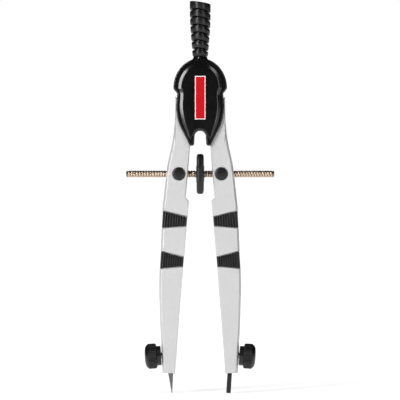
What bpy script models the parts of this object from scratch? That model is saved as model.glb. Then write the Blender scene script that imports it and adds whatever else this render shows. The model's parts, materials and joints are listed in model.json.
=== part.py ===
"""Drawing compass with a quick-release spindle, in metres, +Z up, seen from -Y.

The origin is on the handle's axis, at the middle of the finger grip. Reach is a distance
from the compass's centre plane, and drop is a distance below the line of the leg pivots.
The legs are drawn closed and upright, and their frames turn them out to where they rest.
"""

import math

import bmesh
import bpy
import numpy as np
from mathutils import Matrix

MM = 0.001

# Clearances
SEAT_GAP = 0.25 * MM
RUNNING_GAP = 0.1 * MM
CUT_OVERRUN = 1.5 * MM

# Sides of the round pieces
PIN_SIDES = 16
GRIP_SIDES = 20
KNOB_SIDES = 24
WHEEL_SIDES = 32
CROWN_STEPS = 8

# Finger grip
GRIP_LENGTH = 23.4 * MM
GRIP_RADIUS = 4.5 * MM
GRIP_SLANT_SHARE = 0.14
GROOVE_COUNT = 6
GROOVE_PITCH = 3.32 * MM
GROOVE_WIDTH = 1.15 * MM
GROOVE_DEPTH = 1.05 * MM
TOP_BAND_HEIGHT = 3.75 * MM
BAND_ROUNDING = 0.35 * MM
GRIP_BORE_DEPTH = 15.5 * MM
GRIP_TAPER_SHARES = ((0.0, 1.0), (0.28, 1.0), (0.45, 0.96), (0.62, 0.9), (0.8, 0.82), (1.0, 0.72))

# Neck and stem
NECK_LENGTH = 1.6 * MM
NECK_TOP_RADIUS = 3.1 * MM
STEM_RADIUS = 1.25 * MM
STEM_SOCKET_DEPTH = 2.3 * MM

# Head covers
COVER_HALF_WIDTH = 11.6 * MM
COVER_CROWN = 13.0 * MM
COVER_SHOULDER_DROP = 0.45 * MM
COVER_SEAT_HALF_WIDTH = 3.7 * MM
COVER_DROP = 25.1 * MM
COVER_WALL = 1.2 * MM
FLANGE_THICKNESS = 1.2 * MM
FLANGE_ROUNDING = 0.4 * MM
DOME_HEIGHT = 1.15 * MM
DOME_MARGIN = 2.3 * MM
DOME_ROUNDING = 0.7 * MM
DOME_NOTCH_MARGIN = 0.6 * MM
# Share of the dome's half width that is flat at its crown
DOME_TOP_SHARE = 0.1
NOTCH_HALF_WIDTH = 2.45 * MM
NOTCH_DEPTH = 6.4 * MM
# Share of the cover's half width, share of its drop: from the shoulder notch to the prong
COVER_SIDE_SHARES = (
    (0.853, 0.106),
    (0.868, 0.165),
    (0.893, 0.3),
    (0.893, 0.39),
    (0.86, 0.515),
    (0.76, 0.665),
    (0.6, 0.81),
    (0.5, 0.9),
    (0.43, 0.972),
    (0.38, 1.0),
    (0.28, 1.0),
    (0.225, 0.975),
)
DOME_SIDE_SHARES = (
    (0.735, 0.13),
    (0.755, 0.3),
    (0.73, 0.45),
    (0.65, 0.62),
    (0.53, 0.76),
    (0.44, 0.86),
    (0.36, 0.905),
    (0.31, 0.86),
)

# Badge
BADGE_WIDTH = 4.6 * MM
BADGE_HEIGHT = 18.8 * MM
BADGE_THICKNESS = 0.45 * MM
BADGE_RECESS = 0.3 * MM
BADGE_CENTRE_DROP = 4.6 * MM
BADGE_RIM = 0.4 * MM
BADGE_FIELD_DEPTH = 0.11 * MM

# Pivots and the gears around them
PIVOT_HALF_SPACING = 4.2 * MM
PIN_RADIUS = 1.5 * MM
PIN_HEAD_RADIUS = 2.2 * MM
PIN_HEAD_THICKNESS = 0.5 * MM
GEAR_TEETH = 12
GEAR_BACKLASH = 0.16 * MM
PRESSURE_ANGLE = math.radians(25)
TOOTH_TIP_SHARE = 0.86
TOOTH_ROOT_SHARE = 1.2
GEAR_FIRST_ANGLE = math.radians(-42)
GEAR_LAST_ANGLE = math.radians(76)

# Yoke between the plates
PLATE_THICKNESS = 0.8 * MM
PLATE_LUG_RADIUS = 5.3 * MM
PLATE_LUG_FIRST_ANGLE = math.radians(50)
PLATE_LUG_LAST_ANGLE = math.radians(-90)
YOKE_TOP_HALF_WIDTH = 3.6 * MM
RIVET_RADIUS = 0.8 * MM
RIVET_REACH = 3.9 * MM

# Cover screws
SCREW_RADIUS = 0.8 * MM
SCREW_HEAD_RADIUS = 1.5 * MM
SCREW_HEAD_THICKNESS = 0.8 * MM
SCREW_SLOT_WIDTH = 0.4 * MM
BOSS_RADIUS = 1.85 * MM
LOWER_SCREW_DROP = 12.5 * MM

# Legs, closed
LEG_LENGTH = 124.2 * MM
LEG_REACH = 11.86 * MM
LEG_THICKNESS = 7.0 * MM
TONGUE_THICKNESS = 4.0 * MM
TONGUE_FIRST_ANGLE = math.radians(-62)
TONGUE_LUG_ANGLES = np.radians([95, 115, 135, 155, 175])
# How far the tongue runs into the leg, as shares of the shoulder's radius and angle
TONGUE_JOIN_SHARE = 1.5
TONGUE_ANGLE_SHARE = 0.7
LUG_RADIUS = 4.85 * MM
SHOULDER_RADIUS = 7.62 * MM
SHOULDER_ANGLE = math.radians(55.3)
SHOULDER_STOP_GAP = 0.5 * MM
LEG_INNER_REACH = 0.75 * MM
LEG_TIP_INNER_REACH = 0.45 * MM
LEG_STRAIGHT_SHARE = 0.6
WHEEL_RECESS_REACH = 2.25 * MM
WHEEL_RECESS_STEP = 1.3 * MM
OUTER_BEVEL = 1.1 * MM
INNER_BEVEL = 0.4 * MM
REST_OPENING = math.radians(4.8)
MOST_OPENING = math.radians(33)
# Share of the leg's length, share of its reach, down the outer edge
LEG_OUTER_SHARES = (
    (0.119, 0.823),
    (0.188, 0.841),
    (0.272, 0.951),
    (0.313, 0.978),
    (0.382, 0.991),
    (0.439, 1.0),
    (0.499, 0.973),
    (0.58, 0.94),
    (0.639, 0.927),
    (0.719, 0.877),
    (0.764, 0.823),
    (0.837, 0.739),
    (0.899, 0.641),
    (0.965, 0.552),
    (1.0, 0.499),
)

# Rubber bands round the legs
GRIP_BAND_SHARES = (0.467, 0.608)
GRIP_BAND_OUTER_HEIGHT = 7.4 * MM
GRIP_BAND_INNER_HEIGHT = 3.75 * MM
GRIP_BAND_DEPTH = 1.0 * MM
GRIP_BAND_RELIEF = 0.15 * MM
GRIP_RIB_COUNT = 8
GRIP_RIB_HEIGHT = 0.35 * MM

# Spindle, wheel and hub
NUT_REACH = 6.03 * MM
NUT_DROP = 37.76 * MM
SPINDLE_LENGTH = 64.2 * MM
SPINDLE_RADIUS = 1.5 * MM
THREAD_PITCH = 1.16 * MM
THREAD_DEPTH = 0.3 * MM
THREAD_SIDES = 8
WHEEL_RADIUS = 8.7 * MM
WHEEL_RIM_WIDTH = 3.2 * MM
WHEEL_HUB_WIDTH = 3.5 * MM
WHEEL_HUB_RADIUS = 3.7 * MM
WHEEL_RIM_DEPTH = 1.9 * MM
WHEEL_WEB_WIDTH = 2.2 * MM
WHEEL_ROUNDING = 0.7 * MM
WHEEL_FLUTE_DEPTH = 0.12 * MM
HUB_WALL = 0.9 * MM

# Release button, spring and cap
BUTTON_RADIUS = 2.7 * MM
BUTTON_TRAVEL = 1.0 * MM
BUTTON_PROUD = 0.35 * MM
BUTTON_DOME = 0.3 * MM
BUTTON_BACK_WALL = 0.7 * MM
# Share of the radius, share of the dome's height, between its middle and its edge
BUTTON_CROWN_SHARES = (0.6, 0.25)
CAP_RADIUS = 3.3 * MM
CAP_THICKNESS = 0.9 * MM
CAP_CHAMFER = 0.27 * MM
CAP_POCKET_DEPTH = 0.5 * MM
SPRING_RADIUS = 1.55 * MM
SPRING_WIRE_RADIUS = 0.15 * MM
SPRING_TURNS = 2.5
SPRING_STEPS_PER_TURN = 9

# Needle, lead and their sockets
SOCKET_TILT = math.radians(8.5)
SOCKET_EXIT_REACH = 2.4 * MM
SOCKET_DEPTH = 22.0 * MM
NEEDLE_RADIUS = 1.15 * MM
NEEDLE_REACH = 8.7 * MM
NEEDLE_TIP_RADIUS = 0.12 * MM
LEAD_RADIUS = 1.0 * MM
LEAD_REACH = 8.5 * MM
LEAD_CHISEL_LENGTH = 3.1 * MM
LEAD_TIP_WIDTH = 0.45 * MM
INSERT_LENGTH = 20.0 * MM
INSERT_CHAMFER = 0.3 * MM

# Clamp in each leg's foot
CLAMP_HEIGHT = 7.95 * MM
JAW_RADIUS = 1.6 * MM
JAW_THICKNESS = 0.75 * MM
CLAMP_SCREW_RADIUS = 1.3 * MM
KNOB_RADIUS = 5.45 * MM
KNOB_HEAD_LENGTH = 5.3 * MM
KNOB_COLLAR_RADIUS = 4.25 * MM
KNOB_COLLAR_LENGTH = 1.8 * MM
KNOB_CROWN = 1.2 * MM
KNOB_CROWN_RADIUS = 4.0 * MM
KNOB_BORE_DEPTH = 4.5 * MM
KNOB_FLUTE_DEPTH = 0.15 * MM

# Measures that follow from those above
GEAR_MODULE = 2 * PIVOT_HALF_SPACING / GEAR_TEETH
TOTAL_SWING = REST_OPENING + MOST_OPENING
SEAT_RISE = (
    COVER_CROWN * math.sqrt(1 - (COVER_SEAT_HALF_WIDTH / COVER_HALF_WIDTH) ** 2)
    - COVER_SHOULDER_DROP
)
PIVOT_DROP = GRIP_LENGTH / 2 + NECK_LENGTH + SEAT_RISE
HALF_TONGUE = TONGUE_THICKNESS / 2
HALF_LEG = LEG_THICKNESS / 2
PLATE_BACK = HALF_TONGUE + SEAT_GAP
PLATE_FRONT = PLATE_BACK + PLATE_THICKNESS
FLANGE_BACK = HALF_LEG + SEAT_GAP
FLANGE_FRONT = FLANGE_BACK + FLANGE_THICKNESS
DOME_FRONT = FLANGE_FRONT + DOME_HEIGHT
DOME_BACK = DOME_FRONT - COVER_WALL
SCREW_SEAT = DOME_FRONT - SCREW_HEAD_THICKNESS - RUNNING_GAP
YOKE_TOP = SEAT_RISE - COVER_WALL - SEAT_GAP
YOKE_BOTTOM = LUG_RADIUS + SEAT_GAP
STEM_BOTTOM = YOKE_TOP - STEM_SOCKET_DEPTH + RUNNING_GAP
UPPER_SCREW_RISE = (YOKE_TOP - STEM_SOCKET_DEPTH + YOKE_BOTTOM) / 2
SPINDLE_CORE_RADIUS = SPINDLE_RADIUS - THREAD_DEPTH
HUB_RADIUS = SPINDLE_CORE_RADIUS + RUNNING_GAP + HUB_WALL
SLOT_HALF_HEIGHT = SPINDLE_RADIUS + SEAT_GAP
SOCKET_RADIUS = NEEDLE_RADIUS + RUNNING_GAP
BUTTON_BACK = SPINDLE_RADIUS + RUNNING_GAP + BUTTON_BACK_WALL
CAP_FRONT = HALF_LEG + SEAT_GAP
CAP_FLOOR = CAP_FRONT + CAP_POCKET_DEPTH

AXIS_X = Matrix.Rotation(math.pi / 2, 4, "Y")
AXIS_Y = Matrix.Rotation(-math.pi / 2, 4, "X")


def finish(name, colour, roughness, metallic=0.0):
    """A material with one plain colour."""
    made = bpy.data.materials.new(name)
    made.use_nodes = True
    shader = made.node_tree.nodes["Principled BSDF"]
    shader.inputs["Base Color"].default_value = (*colour, 1.0)
    shader.inputs["Roughness"].default_value = roughness
    shader.inputs["Metallic"].default_value = metallic
    return made


def frame_at(name, parent=None, place=(0, 0, 0), turn=0.0):
    """An empty that carries pieces, turned about Y."""
    empty = bpy.data.objects.new(name, None)
    bpy.context.scene.collection.objects.link(empty)
    empty.parent = parent
    empty.location = place
    empty.rotation_euler = (0, turn, 0)
    return empty


def piece(name, body, look, frame):
    """An object made from a bmesh, carried by a frame."""
    mesh = bpy.data.meshes.new(name)
    body.to_mesh(mesh)
    body.free()
    mesh.materials.append(look)
    mesh.shade_smooth()
    mesh.set_sharp_from_angle(angle=math.radians(35))
    made = bpy.data.objects.new(name, mesh)
    bpy.context.scene.collection.objects.link(made)
    made.parent = frame
    return made


def shape_with(target, tool, operation, solver="EXACT"):
    """Adds a Boolean to the target. The tool is kept out of the model."""
    tool.hide_render = True
    tool.display_type = "WIRE"
    modifier = target.modifiers.new(tool.name, "BOOLEAN")
    modifier.operation = operation
    modifier.object = tool
    modifier.solver = solver


def cut(target, body, name="cutter", solver="EXACT"):
    """Cuts a shape out of a piece."""
    tool = piece(target.name + "_" + name, body, target.data.materials[0], target.parent)
    shape_with(target, tool, "DIFFERENCE", solver)


def add(target, body, name="extra", solver="EXACT"):
    """Joins a shape to a piece."""
    tool = piece(target.name + "_" + name, body, target.data.materials[0], target.parent)
    shape_with(target, tool, "UNION", solver)


def slab(outline, near, far, bevels=()):
    """A plate whose outline lies in XZ, from y = near to y = far.

    Each bevel is a first and last outline point, a width and the faces, near or far, that it runs on.
    """
    body = bmesh.new()
    rows = {
        "near": [body.verts.new((x, near, z)) for x, z in outline],
        "far": [body.verts.new((x, far, z)) for x, z in outline],
    }
    count = len(outline)
    body.faces.new(rows["near"])
    body.faces.new(reversed(rows["far"]))
    for i in range(count):
        j = (i + 1) % count
        body.faces.new((rows["near"][i], rows["far"][i], rows["far"][j], rows["near"][j]))
    bmesh.ops.recalc_face_normals(body, faces=body.faces)
    runs = []
    for first, last, width, faces in bevels:
        edges = []
        for face in faces:
            row = rows[face]
            pairs = [(row[i % count], row[(i + 1) % count]) for i in range(first, last)]
            edges += [body.edges.get(pair) for pair in pairs]
        runs.append((edges, width))
    for edges, width in runs:
        live = [edge for edge in edges if edge.is_valid]
        bmesh.ops.bevel(
            body, geom=live, offset=width, offset_type="OFFSET", segments=2, profile=0.5, affect="EDGES"
        )
    return body


def turned(profile, sides=PIN_SIDES, flutes=None, closed=False):
    """A body turned about Z from (radius, height) pairs.

    A profile either starts and ends on the axis, or is closed round a bore. flutes gives,
    for each pair, how deep the flutes are cut there.
    """
    body = bmesh.new()
    rings = []
    for index, (radius, height) in enumerate(profile):
        if radius == 0:
            rings.append([body.verts.new((0, 0, height))])
            continue
        depth = flutes[index] if flutes else 0
        ring = []
        for i in range(sides):
            angle = 2 * math.pi * i / sides
            r = radius - (depth if i % 2 else 0)
            ring.append(body.verts.new((r * math.cos(angle), r * math.sin(angle), height)))
        rings.append(ring)
    pairs = list(zip(rings, rings[1:]))
    if closed:
        pairs.append((rings[-1], rings[0]))
    for lower, upper in pairs:
        for i in range(sides):
            j = (i + 1) % sides
            corners = [lower[i % len(lower)], lower[j % len(lower)]]
            corners += [upper[j % len(upper)], upper[i % len(upper)]]
            unique = [v for k, v in enumerate(corners) if v not in corners[:k]]
            if len(unique) > 2:
                body.faces.new(unique)
    bmesh.ops.recalc_face_normals(body, faces=body.faces)
    return body


def rod(radius, low, high, sides=PIN_SIDES):
    """A plain cylinder about Z."""
    return turned([(0, low), (radius, low), (radius, high), (0, high)], sides)


def placed(body, *moves):
    """The body after each matrix in turn."""
    for move in moves:
        bmesh.ops.transform(body, matrix=move, verts=body.verts)
    return body


def shifted(x=0.0, y=0.0, z=0.0):
    return Matrix.Translation((x, y, z))


def arc(centre, radius, first, last, steps):
    """Points on an arc, as (x, z), first and last included."""
    angles = np.linspace(first, last, steps + 1)
    return [(centre[0] + radius * math.cos(a), centre[1] + radius * math.sin(a)) for a in angles]


def mirrored(right_side):
    """A closed outline from its right half, listed from the top down."""
    return right_side + [(-x, z) for x, z in reversed(right_side)]


def grip_profile():
    """The grip's outline from its top to its foot, with a groove between each two bands."""
    top = GRIP_LENGTH / 2
    taper_at = [share for share, _ in GRIP_TAPER_SHARES]
    taper = [radius for _, radius in GRIP_TAPER_SHARES]

    def radius_at(height):
        return GRIP_RADIUS * float(np.interp((top - height) / GRIP_LENGTH, taper_at, taper))

    points = [(0, top)]
    band_top = top
    grooves = [top - TOP_BAND_HEIGHT - GROOVE_WIDTH / 2 - i * GROOVE_PITCH for i in range(GROOVE_COUNT)]
    for groove in grooves + [None]:
        band_foot = -top if groove is None else groove + GROOVE_WIDTH / 2
        points += [
            (radius_at(band_top) - BAND_ROUNDING, band_top),
            (radius_at(band_top), band_top - BAND_ROUNDING),
            (radius_at(band_foot), band_foot + BAND_ROUNDING),
            (radius_at(band_foot) - BAND_ROUNDING, band_foot),
        ]
        if groove is not None:
            band_top = groove - GROOVE_WIDTH / 2
            points += [(radius_at(groove) - GROOVE_DEPTH, groove)]
    return points + [(0, -top)]


def make_grip(looks, frame):
    body = turned(list(reversed(grip_profile())), GRIP_SIDES)
    half = GRIP_LENGTH / 2
    for vert in body.verts:
        fade = min(1.0, (vert.co.z + half) / GROOVE_PITCH)
        vert.co.z -= GRIP_SLANT_SHARE * vert.co.x * fade
    grip = piece("handle_grip", body, looks["grip"], frame)
    bore_top = -half + GRIP_BORE_DEPTH
    cut(grip, rod(STEM_RADIUS + RUNNING_GAP, -half - CUT_OVERRUN, bore_top), "bore")


def make_neck(looks, frame, pivot_frame):
    top = -GRIP_LENGTH / 2 - RUNNING_GAP
    bottom = -GRIP_LENGTH / 2 - NECK_LENGTH + RUNNING_GAP
    bore = STEM_RADIUS + RUNNING_GAP
    foot_radius = COVER_SEAT_HALF_WIDTH - RUNNING_GAP
    profile = [(bore, bottom), (foot_radius, bottom), (NECK_TOP_RADIUS, top), (bore, top)]
    piece("neck_collar", turned(profile, GRIP_SIDES, closed=True), looks["cover"], frame)
    stem_top = PIVOT_DROP - GRIP_LENGTH / 2 + GRIP_BORE_DEPTH - SEAT_GAP
    piece("handle_stem", rod(STEM_RADIUS, STEM_BOTTOM, stem_top), looks["steel"], pivot_frame)


def crown(half_width, height, top_reach, foot_drop=COVER_SHOULDER_DROP):
    """The right half of a rounded crown, from the flat at its top down to a drop."""
    first = math.acos(top_reach / half_width)
    last = math.asin((COVER_SHOULDER_DROP - foot_drop) / height)
    angles = np.linspace(first, last, CROWN_STEPS + 1)
    return [(half_width * math.cos(a), height * math.sin(a) - COVER_SHOULDER_DROP) for a in angles]


def notch_arc(radius):
    """The right half of the wheel notch's round top, from its side to its crown."""
    centre_z = -COVER_DROP + NOTCH_DEPTH - NOTCH_HALF_WIDTH
    return arc((0, centre_z), radius, 0, math.pi / 2, CROWN_STEPS // 2)


def flange_outline():
    sides = [(COVER_HALF_WIDTH * x, -COVER_DROP * z) for x, z in COVER_SIDE_SHARES]
    right = crown(COVER_HALF_WIDTH, COVER_CROWN, COVER_SEAT_HALF_WIDTH) + sides
    right += notch_arc(NOTCH_HALF_WIDTH)[:-1]
    crest = notch_arc(NOTCH_HALF_WIDTH)[-1]
    return right + [crest] + [(-x, z) for x, z in reversed(right)]


def dome_outline(inset=0.0):
    """The raised middle of a cover, made smaller all round by the inset."""
    half = COVER_HALF_WIDTH - DOME_MARGIN - inset
    height = COVER_CROWN - DOME_MARGIN - inset
    drops = [(COVER_HALF_WIDTH * x, -COVER_DROP * z) for x, z in DOME_SIDE_SHARES]
    sides = [(x - inset, z + inset / 2) for x, z in drops[:-2]]
    tips = drops[-2:]
    arch = notch_arc(NOTCH_HALF_WIDTH + DOME_NOTCH_MARGIN + inset)
    right = crown(half, height, half * DOME_TOP_SHARE) + sides
    if inset == 0:
        right += tips
    right += arch[1:-1]
    return right + [arch[-1]] + [(-x, z) for x, z in reversed(right)]


def skirt_outline(side):
    """The wall between the covers, round the crown of the head, on one side."""
    end_drop = SHOULDER_RADIUS * math.cos(SHOULDER_ANGLE + TOTAL_SWING) - SHOULDER_STOP_GAP
    seat = COVER_SEAT_HALF_WIDTH
    outer = crown(COVER_HALF_WIDTH, COVER_CROWN, seat, end_drop)
    inner = crown(COVER_HALF_WIDTH - COVER_WALL, COVER_CROWN - COVER_WALL, seat, end_drop)
    top_flat = [(0, SEAT_RISE), outer[0]]
    under_flat = [(inner[0][0], SEAT_RISE - COVER_WALL), (0, SEAT_RISE - COVER_WALL)]
    points = top_flat + outer[1:] + list(reversed(inner[1:])) + under_flat
    return [(side * x, z) for x, z in points]


def make_cover(name, side, looks, frame):
    """A shell of the head. side is -1 for the front and 1 for the rear."""

    def deep(near, far):
        return (min(side * near, side * far), max(side * near, side * far))

    outer_face = "near" if side < 0 else "far"
    outline = flange_outline()
    rounding = [(0, len(outline), FLANGE_ROUNDING, (outer_face,))]
    cover = piece(name, slab(outline, *deep(FLANGE_BACK, FLANGE_FRONT), rounding), looks["cover"], frame)
    dome = dome_outline()
    rounding = [(0, len(dome), DOME_ROUNDING, (outer_face,))]
    mid_flange = (FLANGE_BACK + FLANGE_FRONT) / 2
    # The exact solver leaves split edges where the bosses meet the pocket's floor
    solver = "MANIFOLD"
    add(cover, slab(dome, *deep(mid_flange, DOME_FRONT), rounding), "dome", solver)
    for wall, label in ((-1, "left"), (1, "right")):
        add(cover, slab(skirt_outline(wall), *deep(RUNNING_GAP / 2, mid_flange)), label + "_skirt", solver)
    cut(cover, slab(dome_outline(COVER_WALL), *deep(FLANGE_BACK - CUT_OVERRUN, DOME_BACK)), "pocket", solver)
    mid_dome = DOME_BACK + COVER_WALL / 2
    beside_plate = PLATE_FRONT + SEAT_GAP
    bosses = (("upper", UPPER_SCREW_RISE, beside_plate), ("lower", -LOWER_SCREW_DROP, RUNNING_GAP))
    for label, height, low in bosses:
        place = shifted(z=height)
        boss = placed(rod(BOSS_RADIUS, *deep(low, mid_dome)), AXIS_Y, place)
        add(cover, boss, label + "_boss", solver)
        end = DOME_FRONT + CUT_OVERRUN if side > 0 else DOME_BACK
        hole = rod(SCREW_RADIUS + RUNNING_GAP, *deep(low - CUT_OVERRUN, end))
        cut(cover, placed(hole, AXIS_Y, place), label + "_hole", solver)
        if side > 0:
            seat = rod(SCREW_HEAD_RADIUS + RUNNING_GAP, *deep(SCREW_SEAT, end))
            cut(cover, placed(seat, AXIS_Y, place), label + "_seat", solver)
    under_seat = SEAT_RISE - COVER_WALL - CUT_OVERRUN
    stem_hole = rod(STEM_RADIUS + RUNNING_GAP, under_seat, SEAT_RISE + CUT_OVERRUN)
    cut(cover, stem_hole, "stem_hole", solver)
    if side < 0:
        reach = BADGE_WIDTH / 2 + RUNNING_GAP
        half = BADGE_HEIGHT / 2 + RUNNING_GAP
        corners = [(reach, half), (reach, -half), (-reach, -half), (-reach, half)]
        outline = [(x, z - BADGE_CENTRE_DROP) for x, z in corners]
        recess = slab(outline, *deep(DOME_FRONT - BADGE_RECESS, DOME_FRONT + CUT_OVERRUN))
        cut(cover, recess, "recess", solver)
    return cover


def make_badge(looks, frame):
    """A bare plate with a rim round its face."""
    reach = BADGE_WIDTH / 2
    half = BADGE_HEIGHT / 2
    corners = [(reach, half), (reach, -half), (-reach, -half), (-reach, half)]
    outline = [(x, z - BADGE_CENTRE_DROP) for x, z in corners]
    back = -(DOME_FRONT - BADGE_RECESS + RUNNING_GAP / 2)
    face = back - BADGE_THICKNESS
    badge = piece("badge_plate", slab(outline, face, back), looks["badge"], frame)
    field = [(x - math.copysign(BADGE_RIM, x), z - math.copysign(BADGE_RIM, z)) for x, z in corners]
    field = [(x, z - BADGE_CENTRE_DROP) for x, z in field]
    cut(badge, slab(field, face - CUT_OVERRUN, face + BADGE_FIELD_DEPTH), "field")


def make_yoke(looks, frame):
    centre = (PIVOT_HALF_SPACING, 0)
    lug = arc(centre, PLATE_LUG_RADIUS, PLATE_LUG_FIRST_ANGLE, PLATE_LUG_LAST_ANGLE, CROWN_STEPS)
    outline = mirrored([(YOKE_TOP_HALF_WIDTH, YOKE_TOP)] + lug)
    slope = (lug[0][0] - YOKE_TOP_HALF_WIDTH) / (YOKE_TOP - lug[0][1])
    block_reach = YOKE_TOP_HALF_WIDTH + slope * (YOKE_TOP - YOKE_BOTTOM)
    block_outline = mirrored([(YOKE_TOP_HALF_WIDTH, YOKE_TOP), (block_reach, YOKE_BOTTOM)])
    block = piece("yoke_block", slab(block_outline, -HALF_TONGUE, HALF_TONGUE), looks["steel"], frame)
    socket = rod(STEM_RADIUS + RUNNING_GAP, YOKE_TOP - STEM_SOCKET_DEPTH, YOKE_TOP + CUT_OVERRUN)
    cut(block, socket, "socket")
    front = piece("front_plate", slab(outline, -PLATE_FRONT, -PLATE_BACK), looks["steel"], frame)
    rear = piece("rear_plate", slab(outline, PLATE_BACK, PLATE_FRONT), looks["steel"], frame)
    through = PLATE_FRONT + CUT_OVERRUN
    rivet_rise = (YOKE_TOP + YOKE_BOTTOM) / 2
    holes = [("screw", 0, UPPER_SCREW_RISE, SCREW_RADIUS)]
    for label, side in (("left", -1), ("right", 1)):
        holes.append((label + "_rivet", side * RIVET_REACH, rivet_rise, RIVET_RADIUS))
        place = shifted(side * RIVET_REACH, 0, rivet_rise)
        rivet = placed(rod(RIVET_RADIUS, -PLATE_FRONT, PLATE_FRONT), AXIS_Y, place)
        piece(label + "_yoke_rivet", rivet, looks["steel"], frame)
    for target in (block, front, rear):
        for label, x, z, radius in holes:
            hole = rod(radius + RUNNING_GAP, -through, through)
            cut(target, placed(hole, AXIS_Y, shifted(x, 0, z)), label)
    for target in (front, rear):
        for label, side in (("left_pin", -1), ("right_pin", 1)):
            hole = rod(PIN_RADIUS + RUNNING_GAP, -through, through)
            cut(target, placed(hole, AXIS_Y, shifted(side * PIVOT_HALF_SPACING)), label)


def make_pivot_pin(label, side, looks, frame):
    head_back = -PLATE_FRONT - RUNNING_GAP
    head_front = head_back - PIN_HEAD_THICKNESS
    end = PLATE_FRONT + RUNNING_GAP
    profile = [(0, head_front), (PIN_HEAD_RADIUS, head_front), (PIN_HEAD_RADIUS, head_back)]
    profile += [(PIN_RADIUS, head_back), (PIN_RADIUS, end), (0, end)]
    pin = placed(turned(profile), AXIS_Y, shifted(side * PIVOT_HALF_SPACING))
    piece(label + "_pivot_pin", pin, looks["steel"], frame)


def make_cover_screw(label, height, looks, frame):
    seat = SCREW_SEAT + RUNNING_GAP
    top = seat + SCREW_HEAD_THICKNESS
    end = -DOME_BACK + RUNNING_GAP
    profile = [(0, end), (SCREW_RADIUS, end), (SCREW_RADIUS, seat)]
    profile += [(SCREW_HEAD_RADIUS, seat), (SCREW_HEAD_RADIUS, top), (0, top)]
    body = placed(turned(profile), AXIS_Y, shifted(z=height))
    screw = piece(label + "_cover_screw", body, looks["steel"], frame)
    reach = SCREW_HEAD_RADIUS + CUT_OVERRUN
    upper = height + SCREW_SLOT_WIDTH / 2
    lower = height - SCREW_SLOT_WIDTH / 2
    slot = [(reach, upper), (reach, lower), (-reach, lower), (-reach, upper)]
    cut(screw, slab(slot, top - SCREW_HEAD_THICKNESS / 2, top + CUT_OVERRUN), "slot")


def involute(angle):
    return math.tan(angle) - angle


def tooth(centre):
    """One gear tooth as (radius, angle) pairs, from one root to the other."""
    pitch_radius = PIVOT_HALF_SPACING
    base_radius = pitch_radius * math.cos(PRESSURE_ANGLE)
    tip_radius = pitch_radius + TOOTH_TIP_SHARE * GEAR_MODULE
    root_radius = pitch_radius - TOOTH_ROOT_SHARE * GEAR_MODULE
    half_pitch = math.pi / (2 * GEAR_TEETH) - GEAR_BACKLASH / (2 * pitch_radius)

    def half_angle(radius):
        pressure = math.acos(min(1.0, base_radius / radius))
        return half_pitch + involute(PRESSURE_ANGLE) - involute(pressure)

    flank = [(radius, half_angle(radius)) for radius in np.linspace(base_radius, tip_radius, 5)]
    flank = [(root_radius, half_angle(base_radius))] + flank
    return [(r, centre - a) for r, a in flank] + [(r, centre + a) for r, a in reversed(flank)]


def tongue_outline(side):
    """The thin upper end of a leg: gear teeth on the inner side, a round lug on the outer."""
    pitch_angle = 2 * math.pi / GEAR_TEETH
    first = -pitch_angle if side < 0 else -pitch_angle / 2
    root_radius = PIVOT_HALF_SPACING - TOOTH_ROOT_SHARE * GEAR_MODULE
    polar = [(LUG_RADIUS, TONGUE_FIRST_ANGLE), (LUG_RADIUS, GEAR_FIRST_ANGLE)]
    polar += [(root_radius, GEAR_FIRST_ANGLE)]
    while first < GEAR_LAST_ANGLE - pitch_angle / 2:
        polar += tooth(first)
        first += pitch_angle
    polar += [(root_radius, GEAR_LAST_ANGLE), (LUG_RADIUS, GEAR_LAST_ANGLE)]
    polar += [(LUG_RADIUS, angle) for angle in TONGUE_LUG_ANGLES]
    polar = [(r, a) for r, a in polar if a >= GEAR_FIRST_ANGLE or r == LUG_RADIUS]
    points = [(-side * r * math.cos(a), r * math.sin(a)) for r, a in polar]
    join_drop = SHOULDER_RADIUS * TONGUE_JOIN_SHARE
    inner = side * (WHEEL_RECESS_REACH + RUNNING_GAP - PIVOT_HALF_SPACING)
    outer_angle = SHOULDER_ANGLE * TONGUE_ANGLE_SHARE
    outer_reach = side * SHOULDER_RADIUS * math.sin(outer_angle)
    outer = [(outer_reach, -SHOULDER_RADIUS * math.cos(outer_angle)), (outer_reach, -join_drop)]
    return points + outer + [(inner, -join_drop)]


def outer_edge():
    return [(LEG_REACH * reach, LEG_LENGTH * drop) for drop, reach in LEG_OUTER_SHARES]


def reach_at(drop):
    """The closed leg's outer edge at a drop."""
    edge = outer_edge()
    return float(np.interp(drop, [d for _, d in edge], [r for r, _ in edge]))


def leg_point(side, reach, drop):
    """A point of the closed leg, in the leg's own frame."""
    return (side * (reach - PIVOT_HALF_SPACING), -drop)


def leg_outline(side):
    """The full-thickness part of a leg: outer edge down, inner edge up, then the shoulder."""
    wheel_foot = NUT_DROP + WHEEL_RADIUS + WHEEL_RECESS_STEP
    inner_angle = math.asin((WHEEL_RECESS_REACH - PIVOT_HALF_SPACING) / SHOULDER_RADIUS)
    angles = np.linspace(inner_angle, SHOULDER_ANGLE, 9)
    shoulder = [
        (PIVOT_HALF_SPACING + SHOULDER_RADIUS * math.sin(a), SHOULDER_RADIUS * math.cos(a))
        for a in angles
    ]
    inner = [
        (LEG_TIP_INNER_REACH, LEG_LENGTH),
        (LEG_INNER_REACH, LEG_LENGTH * LEG_STRAIGHT_SHARE),
        (LEG_INNER_REACH, wheel_foot + WHEEL_RECESS_STEP),
        (WHEEL_RECESS_REACH, wheel_foot),
    ]
    points = [shoulder[-1]] + outer_edge() + inner + shoulder[:-1]
    return [leg_point(side, *point) for point in points]


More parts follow.
